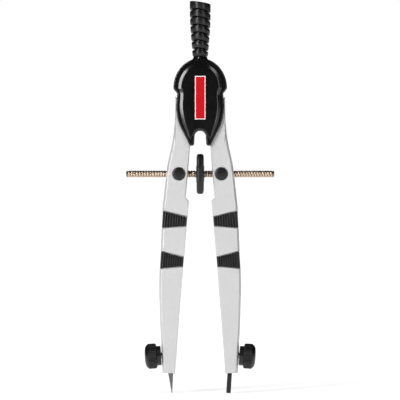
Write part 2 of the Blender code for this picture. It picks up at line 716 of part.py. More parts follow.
def slot_outline(side):
    """A bow tie that clears the level spindle while the leg swings from closed to wide open."""
    r = SLOT_HALF_HEIGHT
    out = LEG_REACH - NUT_REACH + CUT_OVERRUN
    inward = NUT_REACH
    rise = math.tan(TOTAL_SWING)
    foot = (out + r * math.sin(TOTAL_SWING)) * rise + r * math.cos(TOTAL_SWING)
    head = (inward + r * math.sin(TOTAL_SWING)) * rise + r * math.cos(TOTAL_SWING)
    waist = r * math.sin(TOTAL_SWING) - r * (1 - math.cos(TOTAL_SWING)) / rise
    points = [(out, -r), (out, foot), (-waist, r), (-inward, r), (-inward, -head), (waist, -r)]
    return [leg_point(side, NUT_REACH + x, NUT_DROP + z) for x, z in points]


def band_body(side, centre, clearance, proud, ribs):
    """A block round the leg with slanted ends: a rubber band's outside, or the room for it."""
    outer = reach_at(centre) + proud
    inner = LEG_INNER_REACH - proud
    depth = HALF_LEG + proud
    bevel = OUTER_BEVEL
    section = [(inner, -depth + INNER_BEVEL), (inner + INNER_BEVEL, -depth)]
    if ribs:
        places = np.linspace(inner + INNER_BEVEL, outer - bevel, 2 * GRIP_RIB_COUNT + 3)
        section = section[:1] + [
            (x, -depth + (GRIP_RIB_HEIGHT if i % 2 else 0)) for i, x in enumerate(places)
        ]
        section += [(outer, -depth + bevel)]
    else:
        section += [(outer - bevel, -depth), (outer, -depth + bevel)]
    section += [(x, -y) for x, y in reversed(section)]
    body = bmesh.new()
    rows = []
    span = reach_at(centre) - LEG_INNER_REACH
    for end in (-1, 1):
        row = []
        for reach, y in section:
            share = (reach - LEG_INNER_REACH) / span
            height = GRIP_BAND_INNER_HEIGHT + share * (GRIP_BAND_OUTER_HEIGHT - GRIP_BAND_INNER_HEIGHT)
            x, z = leg_point(side, reach, centre + end * (height / 2 + clearance))
            row.append(body.verts.new((x, y, z)))
        rows.append(row)
    body.faces.new(rows[0])
    body.faces.new(reversed(rows[1]))
    for i in range(len(section)):
        j = (i + 1) % len(section)
        body.faces.new((rows[0][i], rows[1][i], rows[1][j], rows[0][j]))
    bmesh.ops.recalc_face_normals(body, faces=body.faces)
    return body


def core_body(side, centre, clearance):
    """The leg's waist inside a rubber band."""
    reach = reach_at(centre) - GRIP_BAND_DEPTH + clearance
    inner = LEG_INNER_REACH + GRIP_BAND_DEPTH - clearance
    depth = HALF_LEG - GRIP_BAND_DEPTH + clearance
    top = centre - GRIP_BAND_OUTER_HEIGHT / 2 - CUT_OVERRUN
    foot = centre + GRIP_BAND_OUTER_HEIGHT / 2 + CUT_OVERRUN
    corners = [(inner, top), (reach, top), (reach, foot), (inner, foot)]
    return slab([leg_point(side, *corner) for corner in corners], -depth, depth)


def make_band(name, side, centre, looks, frame):
    band = piece(name, band_body(side, centre, 0, -GRIP_BAND_RELIEF, True), looks["rubber"], frame)
    cut(band, core_body(side, centre, RUNNING_GAP), "core")


def band_centres():
    return [LEG_LENGTH * share for share in GRIP_BAND_SHARES]


def make_leg(label, side, looks, frame, foot):
    outline = leg_outline(side)
    outer_last = len(LEG_OUTER_SHARES)
    inner_first = outer_last + 1
    faces = ("near", "far")
    bevels = [(0, outer_last, OUTER_BEVEL, faces), (inner_first, inner_first + 4, INNER_BEVEL, faces)]
    leg = piece(label + "_leg", slab(outline, -HALF_LEG, HALF_LEG, bevels), looks["leg"], frame)
    add(leg, slab(tongue_outline(side), -HALF_TONGUE, HALF_TONGUE), "tongue")
    through = HALF_LEG + CUT_OVERRUN
    cut(leg, placed(rod(PIN_RADIUS + RUNNING_GAP, -through, through), AXIS_Y), "pin_bore")
    slot_depth = SPINDLE_RADIUS + SEAT_GAP
    cut(leg, slab(slot_outline(side), -slot_depth, slot_depth), "spindle_slot")
    x, z = leg_point(side, NUT_REACH, NUT_DROP)
    bore = rod(BUTTON_RADIUS + RUNNING_GAP, -through, through, GRIP_SIDES)
    cut(leg, placed(bore, AXIS_Y, shifted(x, 0, z)), "button_bore")
    for i, centre in enumerate(band_centres()):
        room_body = band_body(side, centre, RUNNING_GAP, CUT_OVERRUN, False)
        room = piece(leg.name + "_room%d" % i, room_body, looks["leg"], frame)
        core = piece(room.name + "_core", core_body(side, centre, 0), looks["leg"], frame)
        shape_with(room, core, "DIFFERENCE")
        shape_with(leg, room, "DIFFERENCE")
    top = SOCKET_DEPTH - CLAMP_HEIGHT
    to_foot = foot.matrix_local
    cut(leg, placed(rod(SOCKET_RADIUS, -CLAMP_HEIGHT - CUT_OVERRUN, top), to_foot), "socket")
    run = clamp_face() + CUT_OVERRUN
    turn = AXIS_X if side > 0 else AXIS_X.inverted()
    cut(leg, placed(rod(JAW_RADIUS + RUNNING_GAP, 0, run), turn, to_foot), "clamp_bore")


def clamp_origin():
    """Where a clamp's axis meets its socket's axis, as reach and drop."""
    return (
        SOCKET_EXIT_REACH + CLAMP_HEIGHT * math.sin(SOCKET_TILT),
        LEG_LENGTH - CLAMP_HEIGHT * math.cos(SOCKET_TILT),
    )


def clamp_face():
    """How far along the clamp's axis the leg's outer edge lies."""
    reach, drop = clamp_origin()
    edge = outer_edge()
    along = (math.cos(SOCKET_TILT), math.sin(SOCKET_TILT))
    for (r0, d0), (r1, d1) in zip(edge, edge[1:]):
        # Signed distances of the two ends from the clamp's axis
        s0 = (d0 - drop) * along[0] - (r0 - reach) * along[1]
        s1 = (d1 - drop) * along[0] - (r1 - reach) * along[1]
        if s0 <= 0 < s1:
            share = s0 / (s0 - s1)
            r = r0 + share * (r1 - r0)
            d = d0 + share * (d1 - d0)
            return (r - reach) * along[0] + (d - drop) * along[1]
    return edge[-1][0] - reach


def foot_frame(label, side, leg_frame):
    """The frame of a leg's socket and clamp: -Z down the socket, and X along the clamp's axis."""
    reach, drop = clamp_origin()
    x, z = leg_point(side, reach, drop)
    return frame_at(label + "_foot", leg_frame, (x, 0, z), side * SOCKET_TILT)


def make_clamp(label, side, insert_radius, looks, foot):
    """Jaw, screw and knob, modelled along +Z and then turned to point outwards."""
    turn = AXIS_X if side > 0 else AXIS_X.inverted()
    face = clamp_face()
    jaw_back = insert_radius + RUNNING_GAP + JAW_THICKNESS
    jaw = rod(JAW_RADIUS, insert_radius + RUNNING_GAP, jaw_back)
    piece(label + "_clamp_jaw", placed(jaw, turn), looks["steel"], foot)
    collar = face + SEAT_GAP
    bore_end = collar + KNOB_BORE_DEPTH
    screw = rod(CLAMP_SCREW_RADIUS, jaw_back + RUNNING_GAP, bore_end - RUNNING_GAP)
    piece(label + "_clamp_screw", placed(screw, turn), looks["steel"], foot)
    bore = CLAMP_SCREW_RADIUS + RUNNING_GAP
    head = collar + KNOB_COLLAR_LENGTH
    end = head + KNOB_HEAD_LENGTH
    chamfer = KNOB_RADIUS - KNOB_CROWN_RADIUS
    profile = [
        (0, bore_end, 0),
        (bore, bore_end, 0),
        (bore, collar, 0),
        (KNOB_COLLAR_RADIUS, collar, 0),
        (KNOB_COLLAR_RADIUS, head, 0),
        (KNOB_RADIUS - KNOB_CROWN / 2, head, KNOB_FLUTE_DEPTH),
        (KNOB_RADIUS, head + KNOB_CROWN / 2, KNOB_FLUTE_DEPTH),
        (KNOB_RADIUS, end - chamfer, KNOB_FLUTE_DEPTH),
        (KNOB_CROWN_RADIUS, end - KNOB_CROWN / 4, 0),
        (0, end, 0),
    ]
    body = turned([(r, h) for r, h, _ in profile], KNOB_SIDES, [flute for _, _, flute in profile])
    piece(label + "_clamp_knob", placed(body, turn), looks["knob"], foot)


def make_needle(looks, foot):
    exit_z = -CLAMP_HEIGHT
    top = exit_z + INSERT_LENGTH
    profile = [
        (0, exit_z - NEEDLE_REACH),
        (NEEDLE_TIP_RADIUS, exit_z - NEEDLE_REACH + NEEDLE_TIP_RADIUS),
        (NEEDLE_RADIUS, exit_z),
        (NEEDLE_RADIUS, top - INSERT_CHAMFER),
        (NEEDLE_RADIUS - INSERT_CHAMFER, top),
        (0, top),
    ]
    piece("needle", turned(profile), looks["needle"], foot)


def make_lead(side, looks, foot):
    """A round lead, sharpened on its outer side to a chisel on its inner side."""
    exit_z = -CLAMP_HEIGHT
    top = exit_z + INSERT_LENGTH
    tip = exit_z - LEAD_REACH
    lead = piece("lead", rod(LEAD_RADIUS, tip, top), looks["lead"], foot)
    out = LEAD_RADIUS + CUT_OVERRUN
    inner = -LEAD_RADIUS + LEAD_TIP_WIDTH
    slope = LEAD_CHISEL_LENGTH / (LEAD_RADIUS - inner)
    below = tip - CUT_OVERRUN
    wedge = [(inner, tip), (out, tip + slope * (out - inner)), (out, below), (inner, below)]
    cut(lead, slab([(side * x, z) for x, z in wedge], -out, out), "chisel")


def rest_place(side, reach, drop):
    """Where a point of the closed leg lies once the leg is out at its rest angle."""
    x = reach - PIVOT_HALF_SPACING
    turned_x = x * math.cos(REST_OPENING) + drop * math.sin(REST_OPENING)
    turned_z = -drop * math.cos(REST_OPENING) + x * math.sin(REST_OPENING)
    return (side * (PIVOT_HALF_SPACING + turned_x), turned_z)


def make_nut(label, side, looks, frame):
    """Button with its half nut, spring and cap, in a frame at the nut that stays level."""
    front = -HALF_LEG - BUTTON_PROUD
    crown_reach, crown_fall = BUTTON_CROWN_SHARES
    profile = [
        (0, front),
        (BUTTON_RADIUS * crown_reach, front + BUTTON_DOME * crown_fall),
        (BUTTON_RADIUS, front + BUTTON_DOME),
        (BUTTON_RADIUS, BUTTON_BACK),
        (0, BUTTON_BACK),
    ]
    body = placed(turned(profile, GRIP_SIDES), AXIS_Y)
    button = piece(label + "_release_button", body, looks["knob"], frame)
    seat = SPINDLE_RADIUS + RUNNING_GAP
    slack = BUTTON_TRAVEL + RUNNING_GAP
    reach = BUTTON_RADIUS + CUT_OVERRUN
    window = arc((0, 0), seat, -math.pi / 2, math.pi / 2, CROWN_STEPS)
    window += arc((-slack, 0), seat, math.pi / 2, 1.5 * math.pi, CROWN_STEPS)
    quarter = Matrix.Rotation(math.pi / 2, 4, "Z")
    cut(button, placed(slab(window, -reach, reach), quarter), "window")
    cap = [
        (0, CAP_FLOOR),
        (SPRING_RADIUS + SPRING_WIRE_RADIUS + SEAT_GAP, CAP_FLOOR),
        (SPRING_RADIUS + SPRING_WIRE_RADIUS + SEAT_GAP, CAP_FRONT),
        (CAP_RADIUS, CAP_FRONT),
        (CAP_RADIUS, CAP_FRONT + CAP_THICKNESS - CAP_CHAMFER),
        (CAP_RADIUS - CAP_CHAMFER, CAP_FRONT + CAP_THICKNESS),
        (0, CAP_FRONT + CAP_THICKNESS),
    ]
    cap_body = placed(turned(cap, GRIP_SIDES), AXIS_Y)
    piece(label + "_spring_cap", cap_body, looks["knob"], frame)
    make_spring(label + "_button_spring", looks, frame)


def make_spring(name, looks, frame):
    low = BUTTON_BACK + RUNNING_GAP + SPRING_WIRE_RADIUS
    high = CAP_FLOOR - RUNNING_GAP - SPRING_WIRE_RADIUS
    steps = round(SPRING_TURNS * SPRING_STEPS_PER_TURN)
    curve = bpy.data.curves.new(name, "CURVE")
    curve.dimensions = "3D"
    curve.bevel_depth = SPRING_WIRE_RADIUS
    curve.bevel_resolution = 1
    curve.use_fill_caps = True
    spline = curve.splines.new("POLY")
    spline.points.add(steps)
    for i, point in enumerate(spline.points):
        angle = 2 * math.pi * SPRING_TURNS * i / steps
        y = low + (high - low) * i / steps
        point.co = (SPRING_RADIUS * math.cos(angle), y, SPRING_RADIUS * math.sin(angle), 1)
    curve.materials.append(looks["steel"])
    spring = bpy.data.objects.new(name, curve)
    bpy.context.scene.collection.objects.link(spring)
    spring.parent = frame


def thread(side, start, end):
    """One threaded half of the spindle along +X or -X, with its end chamfered.

    The points of each helix lie on its crest or its root, so the ridge runs true.
    """
    body = bmesh.new()
    turns = (end - start) / THREAD_PITCH
    count = 2 * math.ceil(turns) + 4
    columns = []
    for i in range(THREAD_SIDES):
        angle = 2 * math.pi * i / THREAD_SIDES
        column = []
        for k in range(count):
            x = start + (k / 2 - 1 + i / THREAD_SIDES) * THREAD_PITCH
            radius = SPINDLE_RADIUS - (THREAD_DEPTH if k % 2 else 0)
            if x <= start or x >= end:
                x = min(max(x, start), end)
                radius = SPINDLE_CORE_RADIUS
            radius = min(radius, SPINDLE_CORE_RADIUS - THREAD_DEPTH + (end - x))
            column.append(body.verts.new((side * x, radius * math.cos(angle), radius * math.sin(angle))))
        columns.append(column)
    for i in range(THREAD_SIDES):
        here = columns[i]
        last = i == THREAD_SIDES - 1
        beside = columns[0] if last else columns[i + 1]
        shift = 2 if last else 0
        for k in range(count - 1 - shift):
            body.faces.new((here[k], here[k + 1], beside[k + 1 + shift], beside[k + shift]))
    bmesh.ops.remove_doubles(body, verts=body.verts, dist=RUNNING_GAP / 1000)
    bmesh.ops.dissolve_degenerate(body, edges=body.edges, dist=RUNNING_GAP / 1000)
    bmesh.ops.holes_fill(body, edges=[edge for edge in body.edges if edge.is_boundary], sides=0)
    bmesh.ops.recalc_face_normals(body, faces=body.faces)
    return body


def make_spindle(looks, frame):
    half = SPINDLE_LENGTH / 2
    start = WHEEL_HUB_WIDTH / 2 + SEAT_GAP
    core_radius = SPINDLE_CORE_RADIUS - RUNNING_GAP
    core_end = start + THREAD_PITCH
    core = placed(rod(core_radius, -core_end, core_end, THREAD_SIDES), AXIS_X)
    spindle = piece("spindle", core, looks["brass"], frame)
    for label, side in (("left", -1), ("right", 1)):
        add(spindle, thread(side, start, half), label + "_thread")


def make_wheel(looks, frame):
    bore = HUB_RADIUS + RUNNING_GAP
    rim_foot = WHEEL_RADIUS - WHEEL_RIM_DEPTH
    hub, web, rim = WHEEL_HUB_WIDTH / 2, WHEEL_WEB_WIDTH / 2, WHEEL_RIM_WIDTH / 2
    half = [
        (bore, hub, 0),
        (WHEEL_HUB_RADIUS, hub, 0),
        (WHEEL_HUB_RADIUS, web, 0),
        (rim_foot, web, 0),
        (rim_foot, rim, 0),
        (WHEEL_RADIUS - WHEEL_ROUNDING, rim, 0),
        (WHEEL_RADIUS, rim - WHEEL_ROUNDING, WHEEL_FLUTE_DEPTH),
    ]
    profile = half + [(r, -h, flute) for r, h, flute in reversed(half)]
    flutes = [flute for _, _, flute in profile]
    body = turned([(r, h) for r, h, _ in profile], WHEEL_SIDES, flutes, closed=True)
    piece("adjusting_wheel", placed(body, AXIS_X), looks["knob"], frame)
    bush_bore = SPINDLE_CORE_RADIUS + RUNNING_GAP
    bush = [(bush_bore, -hub), (HUB_RADIUS, -hub), (HUB_RADIUS, hub), (bush_bore, hub)]
    piece("wheel_hub", placed(turned(bush, closed=True), AXIS_X), looks["steel"], frame)


def make_looks():
    return {
        "grip": finish("grip_plastic", (0.018, 0.018, 0.019), 0.55),
        "cover": finish("cover_plastic", (0.008, 0.008, 0.009), 0.18),
        "knob": finish("knob_plastic", (0.012, 0.012, 0.013), 0.4),
        "rubber": finish("rubber", (0.01, 0.01, 0.01), 0.75),
        "leg": finish("leg_metal", (0.66, 0.66, 0.67), 0.42, 0.85),
        "steel": finish("steel", (0.55, 0.55, 0.56), 0.3, 1.0),
        "needle": finish("needle_steel", (0.45, 0.43, 0.41), 0.25, 1.0),
        "brass": finish("spindle_bronze", (0.52, 0.36, 0.22), 0.28, 1.0),
        "lead": finish("graphite", (0.06, 0.06, 0.065), 0.35, 0.3),
        "badge": finish("badge_red", (0.58, 0.004, 0.012), 0.35),
    }


def main():
    for old in list(bpy.data.objects):
        bpy.data.objects.remove(old)
    looks = make_looks()
    handle_frame = frame_at("handle")
    pivot_frame = frame_at("pivot_line", place=(0, 0, -PIVOT_DROP))
    make_grip(looks, handle_frame)
    make_neck(looks, handle_frame, pivot_frame)
    make_cover("front_cover", -1, looks, pivot_frame)
    make_cover("rear_cover", 1, looks, pivot_frame)
    make_badge(looks, pivot_frame)
    make_yoke(looks, pivot_frame)
    make_cover_screw("upper", UPPER_SCREW_RISE, looks, pivot_frame)
    make_cover_screw("lower", -LOWER_SCREW_DROP, looks, pivot_frame)
    for label, side, insert_radius in (("left", -1, NEEDLE_RADIUS), ("right", 1, LEAD_RADIUS)):
        make_pivot_pin(label, side, looks, pivot_frame)
        pivot = (side * PIVOT_HALF_SPACING, 0, 0)
        leg_frame = frame_at(label + "_leg_pivot", pivot_frame, pivot, -side * REST_OPENING)
        foot = foot_frame(label, side, leg_frame)
        bpy.context.view_layer.update()
        make_leg(label, side, looks, leg_frame, foot)
        for place, centre in zip(("upper", "lower"), band_centres()):
            make_band("%s_%s_grip" % (label, place), side, centre, looks, leg_frame)
        make_clamp(label, side, insert_radius, looks, foot)
        x, z = rest_place(side, NUT_REACH, NUT_DROP)
        make_nut(label, side, looks, frame_at(label + "_nut", pivot_frame, (x, 0, z)))
        if side < 0:
            make_needle(looks, foot)
        else:
            make_lead(side, looks, foot)
    _, spindle_z = rest_place(1, NUT_REACH, NUT_DROP)
    spindle_frame = frame_at("spindle_axis", pivot_frame, (0, 0, spindle_z))
    make_spindle(looks, spindle_frame)
    make_wheel(looks, spindle_frame)


main()
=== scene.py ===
"""The finished look of a drawing compass, modelled round its working parts.

Everything is in metres. +Z runs up the handle, -Y is the front and +X is the lead's side.
A leg is modelled closed and upright on the right side, with reach measured out from the
compass's middle and drop measured down from the leg pivots, and is then turned to rest.
"""

import json
import math

import bmesh
import bpy
import numpy as np
from bpy.props import FloatProperty, FloatVectorProperty, IntProperty, PointerProperty
from mathutils import Matrix, Vector


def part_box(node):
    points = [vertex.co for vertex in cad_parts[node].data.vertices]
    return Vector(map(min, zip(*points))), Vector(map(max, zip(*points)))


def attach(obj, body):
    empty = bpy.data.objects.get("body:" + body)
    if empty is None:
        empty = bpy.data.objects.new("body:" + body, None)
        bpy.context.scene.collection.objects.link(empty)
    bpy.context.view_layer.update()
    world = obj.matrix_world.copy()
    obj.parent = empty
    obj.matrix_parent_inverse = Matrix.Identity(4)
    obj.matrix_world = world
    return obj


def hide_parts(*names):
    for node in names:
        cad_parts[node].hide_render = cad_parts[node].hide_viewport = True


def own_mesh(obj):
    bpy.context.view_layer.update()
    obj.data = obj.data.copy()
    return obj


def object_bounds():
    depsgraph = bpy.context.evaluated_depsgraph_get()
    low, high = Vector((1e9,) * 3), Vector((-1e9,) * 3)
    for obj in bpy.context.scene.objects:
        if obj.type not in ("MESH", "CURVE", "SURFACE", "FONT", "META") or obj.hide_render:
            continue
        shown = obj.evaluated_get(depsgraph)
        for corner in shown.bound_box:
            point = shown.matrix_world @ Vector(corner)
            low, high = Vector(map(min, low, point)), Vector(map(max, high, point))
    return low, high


bl_info = {
    "name": "Drawing compass",
    "version": (1, 0, 0),
    "blender": (4, 5, 0),
    "location": "3D View > Sidebar > Compass",
    "description": "Models the finished surfaces of a drawing compass",
    "category": "Object",
}

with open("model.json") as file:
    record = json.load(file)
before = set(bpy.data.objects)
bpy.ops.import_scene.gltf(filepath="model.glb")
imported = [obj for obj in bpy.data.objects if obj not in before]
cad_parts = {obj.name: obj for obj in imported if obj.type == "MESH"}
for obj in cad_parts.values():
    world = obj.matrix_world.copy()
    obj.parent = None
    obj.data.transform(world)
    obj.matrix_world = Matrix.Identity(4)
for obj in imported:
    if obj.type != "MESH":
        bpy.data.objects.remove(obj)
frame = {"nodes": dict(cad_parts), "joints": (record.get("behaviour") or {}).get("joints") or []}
CAD_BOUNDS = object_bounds()

MM = 0.001
JOINTS = {joint["name"]: joint for joint in frame["joints"]}
SIDES = (("left", -1), ("right", 1))
Z_TO_SIDE = Matrix.Rotation(math.pi / 2, 4, "Y")
Z_TO_FRONT = Matrix.Rotation(math.pi / 2, 4, "X")
Z_TO_BACK = Matrix.Rotation(-math.pi / 2, 4, "X")

# Places taken from the frame
PIVOT = Vector(JOINTS["right_leg_opening"]["pos_m"])
SPINDLE_Z = JOINTS["wheel_spin"]["pos_m"][2]
NUT_X = JOINTS["right_nut_swivel"]["pos_m"][0]
REST_TURN = math.radians(-JOINTS["left_leg_opening"]["range_deg"][0])
MOST_TURN = math.radians(JOINTS["left_leg_opening"]["range_deg"][1])

# Finger grip and neck
GRIP_HALF = 11.7 * MM
GRIP_RADIUS = 4.55 * MM
GRIP_SLANT_SHARE = 0.155
GRIP_FRONT_SHARE = 0.19
GRIP_TOP_SHARE = 0.2
GRIP_TOP_DROP = 0.13 * MM
GRIP_ROUNDING = 0.2 * MM
GRIP_BULGE = 0.03 * MM
GRIP_TAPER_SHARES = ((0.0, 1.0), (0.28, 1.0), (0.45, 0.96), (0.62, 0.9), (0.8, 0.82), (1.0, 0.72))
GROOVE_COUNT = 6
GROOVE_PITCH = 3.32 * MM
GROOVE_WIDTH = 0.85 * MM
TOP_BAND = 3.75 * MM
NECK_TOP_RADIUS = 3.1 * MM
NECK_FOOT_RADIUS = 3.6 * MM

# Head covers, as distances from the pivots' middle
COVER_HALF = 11.6 * MM
COVER_CROWN = 13.0 * MM
COVER_SHOULDER = 0.45 * MM
COVER_SEAT = 3.7 * MM
COVER_DROP = 25.1 * MM
COVER_WALL = 1.2 * MM
FLANGE_BACK = 3.75 * MM
FLANGE_FRONT = 4.95 * MM
DOME_FRONT = 6.1 * MM
DOME_MARGIN = 2.2 * MM
SLOPE_RISE = 0.56 * MM
DOME_ROUNDING = 0.35 * MM
BADGE_ROUNDING = 0.08 * MM
NOTCH_HALF = 2.45 * MM
NOTCH_DEPTH = 6.4 * MM
SKIRT_FOOT = 0.92 * MM
COVER_SIDE_SHARES = (
    (0.853, 0.106),
    (0.868, 0.165),
    (0.893, 0.3),
    (0.893, 0.39),
    (0.86, 0.515),
    (0.76, 0.665),
    (0.6, 0.81),
    (0.5, 0.9),
    (0.43, 0.972),
)
PRONG_SHARES = ((0.38, 1.0), (0.28, 1.0), (0.225, 0.975))
DOME_SIDE_SHARES = (
    (0.735, 0.13),
    (0.755, 0.3),
    (0.73, 0.45),
    (0.65, 0.62),
    (0.53, 0.76),
    (0.44, 0.86),
)
# How much of the slope's width is left beside each of those points
SLOPE_SHARES = (1.0, 1.0, 0.95, 0.85, 0.6, 0.25)
DOME_TIP_SHARES = ((0.36, 0.905), (0.31, 0.86))
SCREW_SEAT = 5.2 * MM
SCREW_HEAD_RADIUS = 1.5 * MM

# Legs
LEG_LENGTH = 124.2 * MM
LEG_REACH = 11.86 * MM
LEG_HALF = 3.5 * MM
# Half the depth at which a leg is bevelled, as a share of the bevel
THIN_SHARE = 1.04
TONGUE_HALF = 2.0 * MM
TONGUE_CUT_DROP = 4.0 * MM
TONGUE_OVERLAP = 0.2 * MM
STUB_REACH = 4.7 * MM
STUB_DROPS = (3.7 * MM, 10 * MM)
SHOULDER_RADIUS = 7.62 * MM
SHOULDER_ANGLE = math.radians(55.3)
LEG_INNER = 0.75 * MM
LEG_TIP_INNER = 0.45 * MM
LEG_STRAIGHT_SHARE = 0.6
RECESS_REACH = 2.25 * MM
RECESS_STEP = 1.3 * MM
NUT_REACH = 6.03 * MM
NUT_DROP = 37.76 * MM
LEG_OUTER_SHARES = (
    (0.119, 0.823),
    (0.188, 0.841),
    (0.272, 0.951),
    (0.313, 0.978),
    (0.382, 0.991),
    (0.439, 1.0),
    (0.499, 0.973),
    (0.58, 0.94),
    (0.639, 0.927),
    (0.719, 0.877),
    (0.764, 0.823),
    (0.837, 0.739),
    (0.899, 0.641),
    (0.965, 0.552),
    (1.0, 0.499),
)

# Rubber grips round the legs
BAND_SHARES = (("upper", 0.467), ("lower", 0.608))
BAND_OUTER_HEIGHT = 7.4 * MM
BAND_INNER_HEIGHT = 3.75 * MM
BAND_DEPTH = 1.0 * MM
BAND_GAP = 0.1 * MM
BAND_RELIEF = 0.15 * MM
BAND_ROUNDING = 0.14 * MM
RIB_COUNT = 8
# Across one rib and the groove after it: share of the pitch, and share of the rib's height sunk
RIB_SHARES = (
    (0.0, 0.0),
    (0.12, 0.08),
    (0.24, 0.32),
    (0.34, 0.75),
    (0.42, 1.0),
    (0.58, 1.0),
    (0.66, 0.75),
    (0.76, 0.32),
    (0.88, 0.08),
)

# Nuts, spindle and wheel
BUTTON_RADIUS = 2.7 * MM
BUTTON_FRONT = 3.85 * MM
BUTTON_BACK = 2.3 * MM
BUTTON_PLAY = 0.1 * MM
BORE_CHAMFER = 0.3 * MM
CAP_RADIUS = 3.3 * MM
CAP_FRONT = 3.75 * MM
CAP_BACK = 4.65 * MM
SPINDLE_RADIUS = 1.5 * MM
SLOT_PLAY = 0.25 * MM
SPINDLE_HALF = 32.1 * MM
# How far in from the crests the spindle's bronze turns darker, down into the thread's roots
THREAD_DARK_DEPTH = 0.34 * MM
WHEEL_RADIUS = 8.7 * MM
WHEEL_RIM_HALF = 1.6 * MM
WHEEL_HUB_HALF = 1.75 * MM
WHEEL_HUB_RADIUS = 3.7 * MM
WHEEL_BORE = 2.3 * MM
# The columns of a knurled rim reach this far in from its radius
KNURL_BAND = 0.4 * MM

# Clamps and points
SOCKET_RADIUS = 1.25 * MM
SOCKET_REACH = 14 * MM
CLAMP_BORE_RADIUS = 1.7 * MM
CLAMP_BORE_LENGTH = 12 * MM
CLAMP_HEIGHT = 7.95 * MM
KNOB_RADIUS = 5.45 * MM
KNOB_KNURL_SHARE = 1.3
COLLAR_RADIUS = 4.25 * MM
COLLAR_LENGTH = 1.8 * MM
NEEDLE_RADIUS = 1.15 * MM
LEAD_RADIUS = 1.0 * MM
LEAD_CHISEL = 3.1 * MM
LEAD_TIP = 0.45 * MM
LEAD_ROUNDING = 0.06 * MM

# Camera and stage
PIXEL = 0.4337 * MM
PICTURE_PIXELS = 400
CAMERA_DISTANCE = 1.2
CAMERA_X = -0.09 * MM
CAMERA_Z = -73.93 * MM
SENSOR = 0.036
FLOOR_SIZE = 12.0
FLOOR_COLOUR = (0.5, 0.5, 0.5)
FLOOR_LIT = 1.5
# What the floor adds for the camera near the compass, and past the reach of the lamps
FLOOR_GLOW = (0.56, 0.97)
PLAIN_RAYS = ("Is Camera Ray", "Is Glossy Ray", "Is Transmission Ray")
SKY_LIGHT = 0.2
SKY_GLOSS = 0.02
# Between these shares of straight back, what gloss sees of the sky turns white
SKY_BEHIND = (0.86, 0.98)
SOFTBOX_DISTANCE = 0.9
# Name, azimuth and elevation in degrees, width and height in metres, watts, and whether gloss shows it
SOFTBOXES = (
    ("key", -41, 20, 0.15, 1.5, 10.5, True),
    ("fill", 34, 12, 0.14, 1.4, 3.0, True),
    ("top", -10, 62, 0.7, 0.4, 2.6, False),
    ("back", 155, 25, 0.6, 0.6, 5.0, False),
)

OVERRUN = 1.5 * MM
# How close two places are when they count as one, or as beside each other
TOUCH = 0.01 * MM
NEARBY = 0.05 * MM
# A step that keeps two faces of a cut from lying in one plane
SLIVER = 0.001 * MM


def length_setting(name, description, default):
    return FloatProperty(name=name, description=description, default=default, unit="LENGTH")


def colour_setting(name, description, default):
    return FloatVectorProperty(
        name=name, description=description, default=default, subtype="COLOR"
    )


class CompassSizes(bpy.types.PropertyGroup):
    groove_depth: length_setting("Groove depth", "How deep the finger grip's grooves are", 0.95 * MM)
    cover_slope: length_setting(
        "Cover slope", "Width of the slope round the raised middle of the covers", 1.4 * MM
    )
    cover_edge: length_setting("Cover edge", "Rounding of the covers' outer edge", 0.6 * MM)
    leg_bevel: length_setting(
        "Leg bevel", "How far the rounding of each leg's outer side reaches in", 1.25 * MM
    )
    leg_inner_bevel: length_setting(
        "Inner bevel", "Rounding of each leg's inner edges and of its ends", 0.4 * MM
    )
    rib_height: length_setting("Rib height", "Height of the ribs on the rubber grips", 0.4 * MM)
    thread_pitch: length_setting(
        "Thread pitch", "Distance between two ridges of the spindle's thread", 1.16 * MM
    )
    thread_depth: length_setting("Thread depth", "Height of the spindle's thread", 0.26 * MM)
    knurl_depth: length_setting(
        "Knurl depth", "Depth of the grooves on the wheel and the knobs", 0.14 * MM
    )
    wheel_teeth: IntProperty(
        name="Wheel knurls",
        description="Number of ridges round the wheel",
        default=72,
        min=24,
    )
    knob_teeth: IntProperty(
        name="Knob knurls",
        description="Number of ridges round each knob",
        default=48,
        min=16,
    )
    badge_rim: length_setting("Badge rim", "Width of the badge's pale rim", 0.38 * MM)


class CompassColours(bpy.types.PropertyGroup):
    leg: colour_setting("Legs", "Silver coating of the legs", (0.62, 0.62, 0.62))
    cover: colour_setting("Covers", "Glossy plastic of the head", (0.003, 0.003, 0.003))
    grip: colour_setting("Finger grip", "Satin plastic of the grip", (0.0015, 0.0015, 0.0015))
    control: colour_setting(
        "Controls", "Plastic of the wheel, knobs and buttons", (0.0025, 0.0025, 0.0025)
    )
    rubber: colour_setting("Rubber", "Rubber bands on the legs", (0.002, 0.002, 0.002))
    bronze: colour_setting("Spindle", "Bronze-coloured metal of the spindle", (0.62, 0.49, 0.38))
    badge: colour_setting("Badge", "Field of the badge", (0.54, 0.002, 0.008))
    rim: colour_setting("Badge rim", "Line round the badge", (0.9, 0.78, 0.78))


class Shade:
    """A socket in a material, on which Python's operators add Math nodes."""

    def __init__(self, finish, socket):
        self.finish = finish
        self.socket = socket

    def math(self, operation, first, second):
        return self.finish.node("ShaderNodeMath", {"operation": operation}, {0: first, 1: second})

    def __add__(self, other):
        return self.math("ADD", self, other)

    def __radd__(self, other):
        return self.math("ADD", other, self)

    def __sub__(self, other):
        return self.math("SUBTRACT", self, other)

    def __rsub__(self, other):
        return self.math("SUBTRACT", other, self)

    def __mul__(self, other):
        return self.math("MULTIPLY", self, other)

    def __rmul__(self, other):
        return self.math("MULTIPLY", other, self)

    def __gt__(self, other):
        return self.math("GREATER_THAN", self, other)

    def __pow__(self, other):
        return self.math("POWER", self, other)

    def __abs__(self):
        return self.math("ABSOLUTE", self, 0.0)


